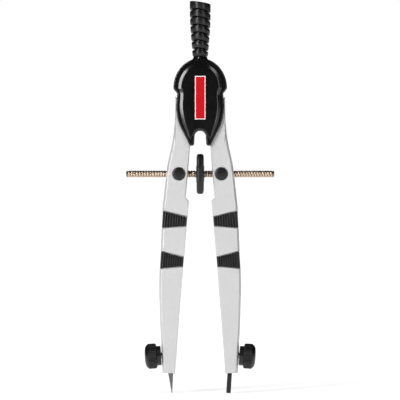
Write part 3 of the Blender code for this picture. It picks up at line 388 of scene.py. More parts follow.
class Finish:
    """A material with one Principled shader, whose sockets are set by name."""

    def __init__(self, name, **values):
        self.material = bpy.data.materials.new(name)
        self.material.use_nodes = True
        self.tree = self.material.node_tree
        self.shader = self.tree.nodes["Principled BSDF"]
        for socket, value in values.items():
            self.set(socket.replace("_", " ").title().replace("Ior", "IOR"), value)

    @classmethod
    def of_world(cls, world):
        """The same helpers for a world, whose shader is its background."""
        made = cls.__new__(cls)
        made.tree = world.node_tree
        made.shader = made.tree.nodes["Background"]
        return made

    def put(self, socket, value):
        """Links a socket to a Shade, or gives it a plain value."""
        if isinstance(value, Shade):
            self.tree.links.new(value.socket, socket)
        elif socket.type == "RGBA" and len(value) == 3:
            socket.default_value = (*value, 1.0)
        else:
            socket.default_value = value

    def set(self, socket, value):
        self.put(self.shader.inputs[socket], value)

    def node(self, kind, settings=None, inputs=None, output=0):
        """Adds a node: its settings first, then the values or links of its sockets."""
        made = self.tree.nodes.new(kind)
        for key, value in (settings or {}).items():
            setattr(made, key, value)
        for key, value in (inputs or {}).items():
            self.put(made.inputs[key], value)
        return Shade(self, made.outputs[output])

    def place(self):
        return self.node("ShaderNodeTexCoord", output="Object")

    def axes(self):
        """The three Object coordinates, each as a Shade."""
        split = self.tree.nodes.new("ShaderNodeSeparateXYZ")
        self.put(split.inputs[0], self.place())
        return [Shade(self, output) for output in split.outputs]

    def noise(self, size, detail=3.0, stretch=(1, 1, 1)):
        """Noise whose features are about one size across, in metres."""
        at = self.node(
            "ShaderNodeMapping", None, {"Vector": self.place(), "Scale": [s / size for s in stretch]}
        )
        return self.node("ShaderNodeTexNoise", None, {"Vector": at, "Scale": 1.0, "Detail": detail})

    def mix(self, share, first, second):
        """A colour between two colours."""
        return self.node(
            "ShaderNodeMix", {"data_type": "RGBA"}, {"Factor": share, 6: first, 7: second}, output=2
        )

    def ramp(self, value, first, last, low=0.0, high=1.0, curve="LINEAR"):
        """Maps a value's range to another one, and holds it at both ends."""
        inputs = {"Value": value, "From Min": first, "From Max": last, "To Min": low, "To Max": high}
        return self.node("ShaderNodeMapRange", {"interpolation_type": curve}, inputs)

    def bump(self, height, depth, strength):
        inputs = {"Strength": strength, "Distance": depth, "Height": height}
        self.set("Normal", self.node("ShaderNodeBump", None, inputs))


def scaled(colour, share):
    return tuple(min(1.0, channel * share) for channel in colour)


def leg_finish(colours):
    """Silver coating with a fine, slightly sparkling grain."""
    made = Finish("silver_coating", metallic=0.15, coat_weight=0.5, coat_roughness=0.14)
    grain = made.noise(0.55 * MM, 4.0)
    fleck = made.noise(0.16 * MM, 1.0)
    cloud = made.noise(9 * MM, 2.0)
    tone = grain * 0.5 + fleck * 0.3 + cloud * 0.2
    made.set("Base Color", made.mix(tone, scaled(colours.leg, 0.86), scaled(colours.leg, 1.16)))
    made.set("Roughness", 0.22 + 0.2 * grain)
    made.bump(fleck * 0.6 + grain * 0.4, 0.02 * MM, 0.35)
    return made.material


def cover_finish(colours):
    """Glossy moulded plastic with a trace of handling."""
    made = Finish("gloss_black", specular_ior_level=0.5)
    smudge = made.noise(7 * MM, 3.0)
    skin = made.noise(0.9 * MM, 2.0)
    made.set("Base Color", made.mix(smudge, scaled(colours.cover, 0.8), scaled(colours.cover, 1.35)))
    made.set("Roughness", 0.1 + 0.08 * smudge)
    made.bump(skin, 0.008 * MM, 0.25)
    return made.material


def grip_finish(colours):
    """Satin plastic, drawn up the handle."""
    made = Finish("satin_black", specular_ior_level=0.4)
    streak = made.noise(0.7 * MM, 3.0, (1, 1, 0.12))
    grain = made.noise(0.25 * MM, 2.0)
    made.set("Base Color", made.mix(streak, scaled(colours.grip, 0.75), scaled(colours.grip, 1.5)))
    made.set("Roughness", 0.24 + 0.16 * streak)
    made.bump(streak * 0.6 + grain * 0.4, 0.03 * MM, 0.4)
    return made.material


def control_finish(colours):
    """Hard black plastic with a dry surface."""
    made = Finish("control_black")
    grain = made.noise(0.3 * MM, 3.0)
    made.set("Base Color", made.mix(grain, scaled(colours.control, 0.7), scaled(colours.control, 1.6)))
    made.set("Roughness", 0.24 + 0.16 * grain)
    made.bump(grain, 0.02 * MM, 0.4)
    return made.material


def rubber_finish(colours):
    made = Finish("rubber", specular_ior_level=0.5)
    grain = made.noise(0.2 * MM, 3.0)
    dust = made.noise(3 * MM, 2.0)
    made.set("Base Color", made.mix(dust, scaled(colours.rubber, 0.7), scaled(colours.rubber, 1.6)))
    made.set("Roughness", 0.3 + 0.15 * grain)
    made.bump(grain, 0.02 * MM, 0.3)
    return made.material


def bronze_finish(colours):
    """Rolled bronze, dark down in the thread."""
    made = Finish("bronze", metallic=1.0)
    _, y, z = made.axes()
    height = z - SPINDLE_Z
    radius = (y * y + height * height) ** 0.5
    crest = made.ramp(radius, SPINDLE_RADIUS - THREAD_DARK_DEPTH, SPINDLE_RADIUS)
    tarnish = made.noise(1.4 * MM, 3.0)
    rubbed = made.mix(tarnish, scaled(colours.bronze, 0.8), scaled(colours.bronze, 1.25))
    made.set("Base Color", made.mix(crest, scaled(colours.bronze, 0.3), rubbed))
    made.set("Roughness", 0.36 - 0.16 * crest)
    made.bump(tarnish, 0.02 * MM, 0.3)
    return made.material


def steel_finish(name, colour, roughness, stretch):
    """Turned, drawn or stamped steel, with the marks of its making."""
    made = Finish(name, metallic=1.0)
    marks = made.noise(0.35 * MM, 3.0, stretch)
    made.set("Base Color", made.mix(marks, scaled(colour, 0.82), scaled(colour, 1.12)))
    made.set("Roughness", roughness + 0.16 * marks)
    made.bump(marks, 0.01 * MM, 0.3)
    return made.material


def graphite_finish():
    made = Finish("graphite", metallic=0.2)
    grain = made.noise(0.12 * MM, 3.0, (1, 1, 0.3))
    made.set("Base Color", made.mix(grain, (0.006, 0.006, 0.006), (0.03, 0.03, 0.031)))
    made.set("Roughness", 0.28 + 0.2 * grain)
    made.bump(grain, 0.02 * MM, 0.3)
    return made.material


def badge_finish(colours, sizes, low, high):
    """A red enamel field with a pale line round it."""
    made = Finish("badge_enamel", specular_ior_level=0.2, coat_weight=0.1, coat_roughness=0.1)
    x, _, z = made.axes()
    half_width = (high.x - low.x) / 2 - sizes.badge_rim
    half_height = (high.z - low.z) / 2 - sizes.badge_rim
    beside = abs(x - (high.x + low.x) / 2)
    above = abs(z - (high.z + low.z) / 2)
    rim = x.math("MAXIMUM", beside > half_width, above > half_height)
    print_grain = made.noise(0.4 * MM, 2.0)
    field = made.mix(print_grain, scaled(colours.badge, 0.85), scaled(colours.badge, 1.15))
    made.set("Base Color", made.mix(rim, field, colours.rim))
    made.set("Roughness", 0.3 + 0.12 * print_grain)
    return made.material


def alone(piece):
    """Selects one piece and nothing else."""
    bpy.ops.object.select_all(action="DESELECT")
    piece.select_set(True)
    bpy.context.view_layer.objects.active = piece


def named(name):
    """Names the primitive that was just added, and puts its place into its mesh."""
    piece = bpy.context.object
    alone(piece)
    piece.name = name
    piece.data.name = name
    bpy.ops.object.transform_apply(location=True, rotation=True, scale=True)
    return piece


def edit(piece):
    alone(piece)
    bpy.ops.object.mode_set(mode="EDIT")
    bpy.ops.mesh.select_all(action="SELECT")


def done():
    bpy.ops.object.mode_set(mode="OBJECT")


def pick(kind, test):
    """Selects what passes a test, of the piece that is in edit mode. Returns how many."""
    bpy.ops.mesh.select_all(action="DESELECT")
    bpy.ops.mesh.select_mode(type=kind)
    body = bmesh.from_edit_mesh(bpy.context.object.data)
    parts = {"VERT": body.verts, "EDGE": body.edges, "FACE": body.faces}[kind]
    chosen = [part for part in parts if test(part)]
    for part in chosen:
        part.select_set(True)
    bmesh.update_edit_mesh(bpy.context.object.data)
    return len(chosen)


def middle(edge):
    return (edge.verts[0].co + edge.verts[1].co) / 2


def face_out():
    """Turns every face of the piece in edit mode outwards."""
    bpy.ops.mesh.select_all(action="SELECT")
    bpy.ops.mesh.normals_make_consistent(inside=False)


def place(piece, matrix):
    """Moves a piece's mesh and leaves the object at the origin."""
    alone(piece)
    piece.matrix_world = matrix
    bpy.ops.object.transform_apply(location=True, rotation=True, scale=True)
    if matrix.determinant() < 0:
        edit(piece)
        face_out()
        done()
    return piece


def again(piece, name, matrix):
    """A copy of a piece with its own mesh, put somewhere else."""
    alone(piece)
    bpy.ops.object.duplicate(linked=False)
    copy = bpy.context.object
    copy.name = name
    copy.data.name = name
    return place(copy, matrix)


def lathe(name, profile, sides=48, bored=False):
    """A turned piece about Z, from a disc or a ring that is extruded up its profile.

    The profile is (radius, height) or (radius, height, slants): how steeply a ring falls
    towards +X and rises towards -Y.
    """
    radius, height, *slants = profile[0]
    slants = slants[0] if slants else (0, 0)
    fill = "NOTHING" if bored else "NGON"
    bpy.ops.mesh.primitive_circle_add(vertices=sides, radius=radius, fill_type=fill, location=(0, 0, height))
    piece = named(name)
    edit(piece)
    for next_radius, next_height, *next_slants in profile[1:]:
        next_slants = next_slants[0] if next_slants else (0, 0)
        bpy.ops.mesh.extrude_region_move(TRANSFORM_OT_translate={"value": (0, 0, next_height - height)})
        ratio = next_radius / radius
        centre = (0, 0, next_height)
        if ratio != 1:
            bpy.ops.transform.resize(value=(ratio, ratio, ratio), center_override=centre)
        for axis, turned, slant in zip("YX", next_slants, slants):
            if turned != slant:
                turn = math.atan(slant) - math.atan(turned)
                way = 1 if axis == "Y" else -1
                bpy.ops.transform.rotate(value=way * turn, orient_axis=axis, center_override=centre)
        radius, height, slants = next_radius, next_height, next_slants
    if bored:
        pick("EDGE", lambda edge: edge.is_boundary)
        bpy.ops.mesh.bridge_edge_loops()
    face_out()
    done()
    return piece


def plate(name, outline, near, far):
    """A flat piece: a disc whose points are set on an outline in XZ, extruded along Y."""
    bpy.ops.mesh.primitive_circle_add(vertices=len(outline), radius=MM, fill_type="NGON")
    piece = named(name)
    for point, (x, z) in zip(piece.data.vertices, outline):
        point.co = (x, near, z)
    edit(piece)
    bpy.ops.mesh.extrude_region_move(TRANSFORM_OT_translate={"value": (0, far - near, 0)})
    face_out()
    done()
    return piece


def bevel(piece, test, width, segments):
    """Rounds the edges that pass a test."""
    edit(piece)
    if pick("EDGE", test):
        bpy.ops.mesh.bevel(offset=width, segments=segments, affect="EDGES", clamp_overlap=True)
    face_out()
    done()


def at_depth(y):
    """The test for an edge that lies at one depth."""
    return lambda edge: all(abs(vert.co.y - y) < TOUCH for vert in edge.verts)


def modify(piece, kind, **settings):
    """Adds a modifier and applies it."""
    alone(piece)
    modifier = piece.modifiers.new(kind.lower(), kind)
    for key, value in settings.items():
        setattr(modifier, key, value)
    bpy.ops.object.modifier_apply(modifier=modifier.name)


def carve(piece, tool, operation="DIFFERENCE"):
    """Cuts a tool out of a piece, or joins it to the piece, and removes the tool."""
    modify(piece, "BOOLEAN", operation=operation, solver="EXACT", object=tool)
    bpy.data.objects.remove(tool)


def knurl(piece, count, radius, depth, low, high):
    """Draws every other column of a turned rim inwards, between two heights."""

    def in_groove(vert):
        out = math.hypot(vert.co.x, vert.co.y)
        column = round(math.atan2(vert.co.y, vert.co.x) / (2 * math.pi) * count)
        return low < vert.co.z < high and out > radius - KNURL_BAND and column % 2 == 0

    edit(piece)
    pick("VERT", in_groove)
    ratio = 1 - depth / radius
    bpy.ops.transform.resize(value=(ratio, ratio, 1), center_override=(0, 0, 0))
    done()


def merge(piece, *others):
    """Joins pieces into one object, as they are."""
    alone(piece)
    for other in others:
        other.select_set(True)
    bpy.ops.object.join()
    return piece


def smooth(piece, degrees=32.0, weighted=True):
    """Smooth shading that stays flat on flat faces."""
    alone(piece)
    bpy.ops.object.shade_smooth_by_angle(angle=math.radians(degrees))
    if weighted:
        modify(piece, "WEIGHTED_NORMAL", keep_sharp=True, weight=50)


def dress(piece, material, slot, body, *nodes):
    """Gives a finished piece its material and its body, and hides the nodes it stands for. Its slot is not
    used.
    """
    piece.data.materials.clear()
    piece.data.materials.append(material)
    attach(piece, body)
    if nodes:
        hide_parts(*nodes)


def repaint(material, *nodes):
    """Gives CAD nodes that stay a better material."""
    for node in nodes:
        mesh = frame["nodes"][node].data
        mesh.materials.clear()
        mesh.materials.append(material)


def curve_through(points, steps=6):
    """More points on a smooth curve through some points, ends included."""
    held = [Vector(point) for point in points]
    held = [held[0] * 2 - held[1]] + held + [held[-1] * 2 - held[-2]]
    smoothed = []
    for before, start, end, after in zip(held, held[1:], held[2:], held[3:]):
        for step in range(steps):
            t = step / steps
            bend = (
                start * 2
                + (end - before) * t
                + (before * 2 - start * 5 + end * 4 - after) * t**2
                + (start * 3 - before - end * 3 + after) * t**3
            )
            smoothed.append(tuple(bend / 2))
    return smoothed + [tuple(held[-2])]


def arc(centre, radius, first, last, steps):
    angles = np.linspace(first, last, steps + 1)
    return [(centre[0] + radius * math.cos(a), centre[1] + radius * math.sin(a)) for a in angles]


def crown(half_width, height, top_reach, foot_drop=COVER_SHOULDER, steps=24):
    """The right half of a rounded crown, from its flat top down to a drop."""
    first = math.acos(top_reach / half_width)
    last = math.asin((COVER_SHOULDER - foot_drop) / height)
    angles = np.linspace(first, last, steps + 1)
    return [(half_width * math.cos(a), height * math.sin(a) - COVER_SHOULDER) for a in angles]


def notch_arc(radius):
    centre_z = -COVER_DROP + NOTCH_DEPTH - NOTCH_HALF
    return arc((0, centre_z), radius, 0, math.pi / 2, 12)


def both_halves(right):
    """A closed outline from its right half, whose last point is on the middle line."""
    return right + [(-x, z) for x, z in reversed(right[:-1])]


def at_pivots(outline):
    """An outline moved from the pivots' middle to its place on the compass."""
    return [(x, z + PIVOT.z) for x, z in outline]


def cover_points(shares):
    return [(COVER_HALF * x, -COVER_DROP * z) for x, z in shares]


def flange_outline():
    side = curve_through(cover_points(COVER_SIDE_SHARES), 5)
    prong = curve_through([side[-1]] + cover_points(PRONG_SHARES), 4)[1:]
    right = crown(COVER_HALF, COVER_CROWN, COVER_SEAT) + side + prong + notch_arc(NOTCH_HALF)
    return both_halves(right)


def dome_outline(slope=0.0):
    """The raised middle of a cover: at its foot, or where its slope has reached the top."""
    half = COVER_HALF - DOME_MARGIN - slope
    height = COVER_CROWN - DOME_MARGIN - slope
    over = crown(half, height, half * 0.02)
    side = cover_points(DOME_SIDE_SHARES)
    side = [(x - slope * share, z) for (x, z), share in zip(side, SLOPE_SHARES)]
    side = curve_through([over[-1]] + side, 6)[1:]
    tip = cover_points(DOME_TIP_SHARES)
    return both_halves(over + side + tip + notch_arc(NOTCH_HALF + COVER_WALL / 2)[2:])


def pocket_outline(wall):
    """The hollow behind the raised middle."""
    half = COVER_HALF - DOME_MARGIN - wall
    over = crown(half, COVER_CROWN - DOME_MARGIN - wall, half * 0.02)
    side = [(x - wall, z + wall / 2) for x, z in cover_points(DOME_SIDE_SHARES)]
    side = curve_through([over[-1]] + side, 6)[1:]
    return both_halves(over + side + notch_arc(NOTCH_HALF + COVER_WALL / 2 + wall)[2:])


def skirt_outline(side):
    outer = crown(COVER_HALF, COVER_CROWN, COVER_SEAT, -SKIRT_FOOT)
    inner = crown(COVER_HALF - COVER_WALL, COVER_CROWN - COVER_WALL, COVER_SEAT, -SKIRT_FOOT)
    top = outer[0][1]
    points = [(0, top)] + outer + list(reversed(inner)) + [(0, top - COVER_WALL)]
    return [(side * x, z) for x, z in points]


def reach_curve():
    """The closed leg's outer edge, as rising drops and their reaches."""
    points = [(LEG_LENGTH * drop, LEG_REACH * reach) for drop, reach in LEG_OUTER_SHARES]
    smoothed = curve_through(points, 8)
    return [drop for drop, _ in smoothed], [reach for _, reach in smoothed]


REACH_DROPS, REACHES = reach_curve()


def reach_at(drop):
    return float(np.interp(drop, REACH_DROPS, REACHES))


def inner_at(drop):
    """The closed leg's inner edge below the wheel's recess."""
    straight = LEG_LENGTH * LEG_STRAIGHT_SHARE
    return float(np.interp(drop, [straight, LEG_LENGTH], [LEG_INNER, LEG_TIP_INNER]))


def band_line(centre, end, reach, clearance):
    """The drop of a rubber band's slanted end at a reach. end is -1 above and 1 below."""
    share = (reach - LEG_INNER) / (reach_at(centre) - LEG_INNER)
    height = BAND_INNER_HEIGHT + share * (BAND_OUTER_HEIGHT - BAND_INNER_HEIGHT)
    return centre + end * (height / 2 + clearance)


def band_meets_edge(centre, end):
    """The drop at which a band's slanted end meets the leg's outer edge."""
    drop = centre
    for _ in range(8):
        drop = band_line(centre, end, reach_at(drop), BAND_GAP)
    return drop


def leg_points(pairs):
    """(reach, drop) pairs as points of the right leg's own frame."""
    return [(reach - PIVOT.x, -drop) for reach, drop in pairs]


def outer_run(first, last):
    count = max(4, round((last - first) / (2 * MM)))
    return [(reach_at(drop), drop) for drop in np.linspace(first, last, count)]


def leg_blocks():
    """The outlines of the leg's three blocks, above, between and below the rubber bands."""
    upper, lower = (LEG_LENGTH * share for _, share in BAND_SHARES)
    recess_foot = NUT_DROP + WHEEL_RADIUS + RECESS_STEP
    first_angle = math.asin((RECESS_REACH - PIVOT.x) / SHOULDER_RADIUS)
    angles = np.linspace(first_angle, SHOULDER_ANGLE, 17)
    shoulder = [
        (PIVOT.x + SHOULDER_RADIUS * math.sin(a), SHOULDER_RADIUS * math.cos(a)) for a in angles
    ]
    recess = [
        (LEG_INNER, band_line(upper, -1, LEG_INNER, BAND_GAP)),
        (LEG_INNER, recess_foot + RECESS_STEP),
        (RECESS_REACH, recess_foot),
    ]
    top = outer_run(REACH_DROPS[0], band_meets_edge(upper, -1))
    between = outer_run(band_meets_edge(upper, 1), band_meets_edge(lower, -1))
    bottom = outer_run(band_meets_edge(lower, 1), LEG_LENGTH)
    tip = [(inner_at(LEG_LENGTH), LEG_LENGTH)]
    return [
        leg_points([shoulder[-1]] + top + recess + shoulder[:-1]),
        leg_points(
            between
            + [
                (LEG_INNER, band_line(lower, -1, LEG_INNER, BAND_GAP)),
                (LEG_INNER, band_line(upper, 1, LEG_INNER, BAND_GAP)),
            ]
        ),
        leg_points(bottom + tip + [(LEG_INNER, band_line(lower, 1, LEG_INNER, BAND_GAP))]),
    ]


def slot_outline():
    """A bow tie that clears the level spindle while the leg swings."""
    r = SPINDLE_RADIUS + SLOT_PLAY
    out = LEG_REACH - NUT_REACH + OVERRUN
    inward = NUT_REACH
    swing = REST_TURN + MOST_TURN
    rise = math.tan(swing)
    foot = (out + r * math.sin(swing)) * rise + r * math.cos(swing)
    head = (inward + r * math.sin(swing)) * rise + r * math.cos(swing)
    waist = r * math.sin(swing) - r * (1 - math.cos(swing)) / rise
    points = [(out, -r), (out, foot), (-waist, r), (-inward, r), (-inward, -head), (waist, -r)]
    return leg_points([(NUT_REACH + x, NUT_DROP + z) for x, z in points])


def leg_matrix(side):
    """From the right leg's own frame to a leg's place at rest. The left leg is mirrored."""
    mirror = Matrix.Diagonal((side, 1, 1, 1))
    turn = Matrix.Rotation(-REST_TURN, 4, "Y")
    return mirror @ Matrix.Translation(PIVOT) @ turn


def foot_matrix(side):
    """From a foot's own frame, with -Z down the socket and X out along the clamp, to its place."""
    joint = JOINTS["right_knob_turn"]
    at = Vector(joint["pos_m"])
    out = Vector(joint["axis"])
    turn = Matrix.Rotation(math.atan2(-out.z, out.x), 4, "Y")
    mirror = Matrix.Diagonal((side, 1, 1, 1))
    return mirror @ Matrix.Translation(at) @ turn


def rounded_block(name, outline, sizes):
    """One block of the leg, round over its whole outer side, with its other edges eased.

    It is bevelled while it is thin in Y, so that the outer bevels meet, and is then stretched.
    """
    thin = THIN_SHARE * sizes.leg_bevel
    block = plate(name, outline, -thin, thin)
    weights = block.data.attributes.new("bevel_weight_edge", "FLOAT", "EDGE")
    for edge in block.data.edges:
        a, b = (block.data.vertices[i].co for i in edge.vertices)
        if abs(a.y - b.y) > TOUCH:
            continue
        outside = all(
            -p.z >= REACH_DROPS[0] - TOUCH
            and abs(p.x + PIVOT.x - reach_at(-p.z)) < NEARBY
            for p in (a, b)
        )
        weights.data[edge.index].value = 1.0 if outside else sizes.leg_inner_bevel / sizes.leg_bevel
    modify(
        block,
        "BEVEL",
        limit_method="WEIGHT",
        width=sizes.leg_bevel,
        segments=8,
        offset_type="OFFSET",
        use_clamp_overlap=False,
    )
    return place(block, Matrix.Diagonal((1, LEG_HALF / thin, 1, 1)))


def copy_of(node, name):
    """A copy of a CAD node that the scene can shape."""
    alone(frame["nodes"][node])
    bpy.ops.object.duplicate(linked=False)
    copy = bpy.context.object
    for key in list(copy.keys()):
        del copy[key]
    copy.parent = None
    copy.name = name
    return copy


def tongue_of(node):
    """The geared upper end of a leg, taken from its CAD node."""
    tongue = copy_of(node, node + "_tongue")
    edit(tongue)
    bpy.ops.mesh.remove_doubles(threshold=SLIVER)
    drop = -(TONGUE_CUT_DROP - TONGUE_OVERLAP)
    inside = Vector((0, 0, 1))
    bpy.ops.mesh.bisect(
        plane_co=(0, 0, PIVOT.z + drop), plane_no=inside, clear_inner=True, use_fill=True
    )
    bpy.ops.mesh.select_all(action="SELECT")
    bpy.ops.mesh.dissolve_limited(angle_limit=math.radians(1))
    done()
    return tongue


class PieceOperator:
    """What the operators share: each builds its pieces from the scene's settings."""

    bl_options = {"REGISTER", "UNDO"}

    def execute(self, context):
        self.build(context.scene.compass_sizes, context.scene.compass_colours)
        return {"FINISHED"}


class COMPASS_OT_finger_grip(PieceOperator, bpy.types.Operator):
    """Model the grooved finger grip"""

    bl_idname = "compass.finger_grip"
    bl_label = "Finger grip"

    def build(self, sizes, colours):
        shares = [share for share, _ in GRIP_TAPER_SHARES]
        tapers = [taper for _, taper in GRIP_TAPER_SHARES]

        def radius_at(height):
            return GRIP_RADIUS * float(np.interp((GRIP_HALF - height) / (2 * GRIP_HALF), shares, tapers))

        def slants_at(height):
            above_foot = min(1.0, (height + GRIP_HALF) / GROOVE_PITCH)
            below_top = min(1.0, GRIP_TOP_SHARE + (GRIP_HALF - height) / TOP_BAND)
            return GRIP_SLANT_SHARE * above_foot, GRIP_FRONT_SHARE * above_foot * below_top

        rows = []
        band_top = GRIP_HALF - GRIP_TOP_DROP
        grooves = [GRIP_HALF - TOP_BAND - GROOVE_WIDTH / 2 - i * GROOVE_PITCH for i in range(GROOVE_COUNT)]
        rounding = GRIP_ROUNDING
        for groove in grooves + [None]:
            foot = -GRIP_HALF if groove is None else groove + GROOVE_WIDTH / 2
            top_radius, foot_radius = radius_at(band_top), radius_at(foot)
            rows += [
                (top_radius - rounding * 1.1, band_top),
                (top_radius - rounding * 0.35, band_top - rounding * 0.3),
                (top_radius, band_top - rounding),
                ((top_radius + foot_radius) / 2 + GRIP_BULGE, (band_top + foot) / 2),
                (foot_radius, foot + rounding),
                (foot_radius - rounding * 0.35, foot + rounding * 0.3),
                (foot_radius - rounding * 1.1, foot),
            ]
            if groove is not None:
                band_top = groove - GROOVE_WIDTH / 2
                root = radius_at(groove) - sizes.groove_depth
                rows += [(root, groove + GROOVE_WIDTH * 0.2), (root, groove - GROOVE_WIDTH * 0.2)]
        profile = [(radius, height, slants_at(height)) for radius, height in reversed(rows)]
        grip = lathe("finger_grip", profile, 64)
        smooth(grip, 50)
        dress(grip, grip_finish(colours), "grip_plastic", "head", "handle_grip")


class COMPASS_OT_neck(PieceOperator, bpy.types.Operator):
    """Model the flared ring between the grip and the head"""

    bl_idname = "compass.neck"
    bl_label = "Neck"

    def build(self, sizes, colours):
        low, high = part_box("neck_collar")
        waist = (low.z + high.z) / 2
        profile = [
            (NECK_FOOT_RADIUS - 0.1 * MM, low.z),
            (NECK_FOOT_RADIUS, low.z + 0.12 * MM),
            (NECK_TOP_RADIUS + 0.05 * MM, waist),
            (NECK_TOP_RADIUS - 0.1 * MM, high.z - 0.15 * MM),
            (NECK_TOP_RADIUS - 0.25 * MM, high.z),
        ]
        ring = lathe("neck_ring", profile, 64)
        smooth(ring, 60)
        dress(ring, bpy.data.materials["gloss_black"], "cover_plastic", "head", "neck_collar")


class COMPASS_OT_covers(PieceOperator, bpy.types.Operator):
    """Model the two shells of the head"""

    bl_idname = "compass.covers"
    bl_label = "Covers"

    def build(self, sizes, colours):
        material = cover_finish(colours)
        for name, side in (("front_shell", -1), ("rear_shell", 1)):
            shell = self.shell(name, side, sizes)
            smooth(shell, 34)
            dress(shell, material, "cover_plastic", "head", name.replace("shell", "cover"))

    def shell(self, name, side, sizes):
        flange = at_pivots(flange_outline())
        shell = plate(name, flange, side * FLANGE_BACK, side * FLANGE_FRONT)
        front = side * FLANGE_FRONT
        bevel(shell, at_depth(front), sizes.cover_edge, 5)
        middle_y = side * (FLANGE_BACK + FLANGE_FRONT) / 2
        carve(shell, self.dome(name + "_dome", side, middle_y, sizes), "UNION")
        for half in (-1, 1):
            outline = at_pivots(skirt_outline(half))
            carve(shell, plate(name + "_skirt", outline, side * 0.05 * MM, middle_y), "UNION")
        inner = side * (DOME_FRONT - COVER_WALL)
        hollow = at_pivots(pocket_outline(COVER_WALL))
        carve(shell, plate(name + "_pocket", hollow, side * (FLANGE_BACK - OVERRUN), inner))
        if side < 0:
            low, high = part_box("badge_plate")
            room = Vector((0.1, 0, 0.1)) * MM
            low, high = low - room, high + room
            corners = [(low.x, low.z), (high.x, low.z), (high.x, high.z), (low.x, high.z)]
            carve(shell, plate("badge_seat", corners, -DOME_FRONT - OVERRUN, high.y))
        else:
            for node in ("upper_cover_screw", "lower_cover_screw"):
                low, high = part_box(node)
                at = Matrix.Translation((0, 0, (low.z + high.z) / 2)) @ Z_TO_BACK
                wall = SCREW_HEAD_RADIUS + 0.12 * MM
                rim = wall + 0.2 * MM
                seat = [
                    (wall, SCREW_SEAT),
                    (wall, DOME_FRONT - 0.2 * MM),
                    (rim, DOME_FRONT + SLIVER),
                    (rim, DOME_FRONT + OVERRUN),
                ]
                carve(shell, place(lathe(node + "_seat", seat, 40), at))
        return shell

    def dome(self, name, side, back, sizes):
        """The raised middle: a plate, extruded once more to a smaller outline, its top edge rounded."""
        foot = at_pivots(dome_outline())
        top = at_pivots(dome_outline(sizes.cover_slope))
        base = side * (DOME_FRONT - SLOPE_RISE)
        dome = plate(name, foot, back, base)
        edit(dome)
        pick("FACE", lambda face: all(abs(vert.co.y - base) < TOUCH for vert in face.verts))
        bpy.ops.mesh.extrude_region_move(TRANSFORM_OT_translate={"value": (0, side * SLOPE_RISE, 0)})
        done()
        front = side * DOME_FRONT
        for vert in dome.data.vertices:
            if abs(vert.co.y - front) < TOUCH:
                here = (vert.co.x, vert.co.z)
                _, (vert.co.x, vert.co.z) = min(zip(foot, top), key=lambda pair: math.dist(pair[0], here))
        bevel(dome, at_depth(front), DOME_ROUNDING, 4)
        return dome


class COMPASS_OT_badge(PieceOperator, bpy.types.Operator):
    """Model the bare badge, with its raised rim"""

    bl_idname = "compass.badge"
    bl_label = "Badge"

    def build(self, sizes, colours):
        low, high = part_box("badge_plate")
        bpy.ops.mesh.primitive_cube_add(size=1, location=(low + high) / 2, scale=high - low)
        badge = named("badge")
        front = low.y
        bevel(badge, at_depth(front), BADGE_ROUNDING, 3)
        edit(badge)
        pick("FACE", lambda face: face.normal.y < -0.9 and face.calc_area() > (2 * MM) ** 2)
        bpy.ops.mesh.inset(thickness=sizes.badge_rim - 0.1 * MM, depth=0)
        bpy.ops.mesh.inset(thickness=0.06 * MM, depth=-0.08 * MM)
        face_out()
        done()
        smooth(badge, 40)
        dress(badge, badge_finish(colours, sizes, low, high), "badge", "head", "badge_plate")


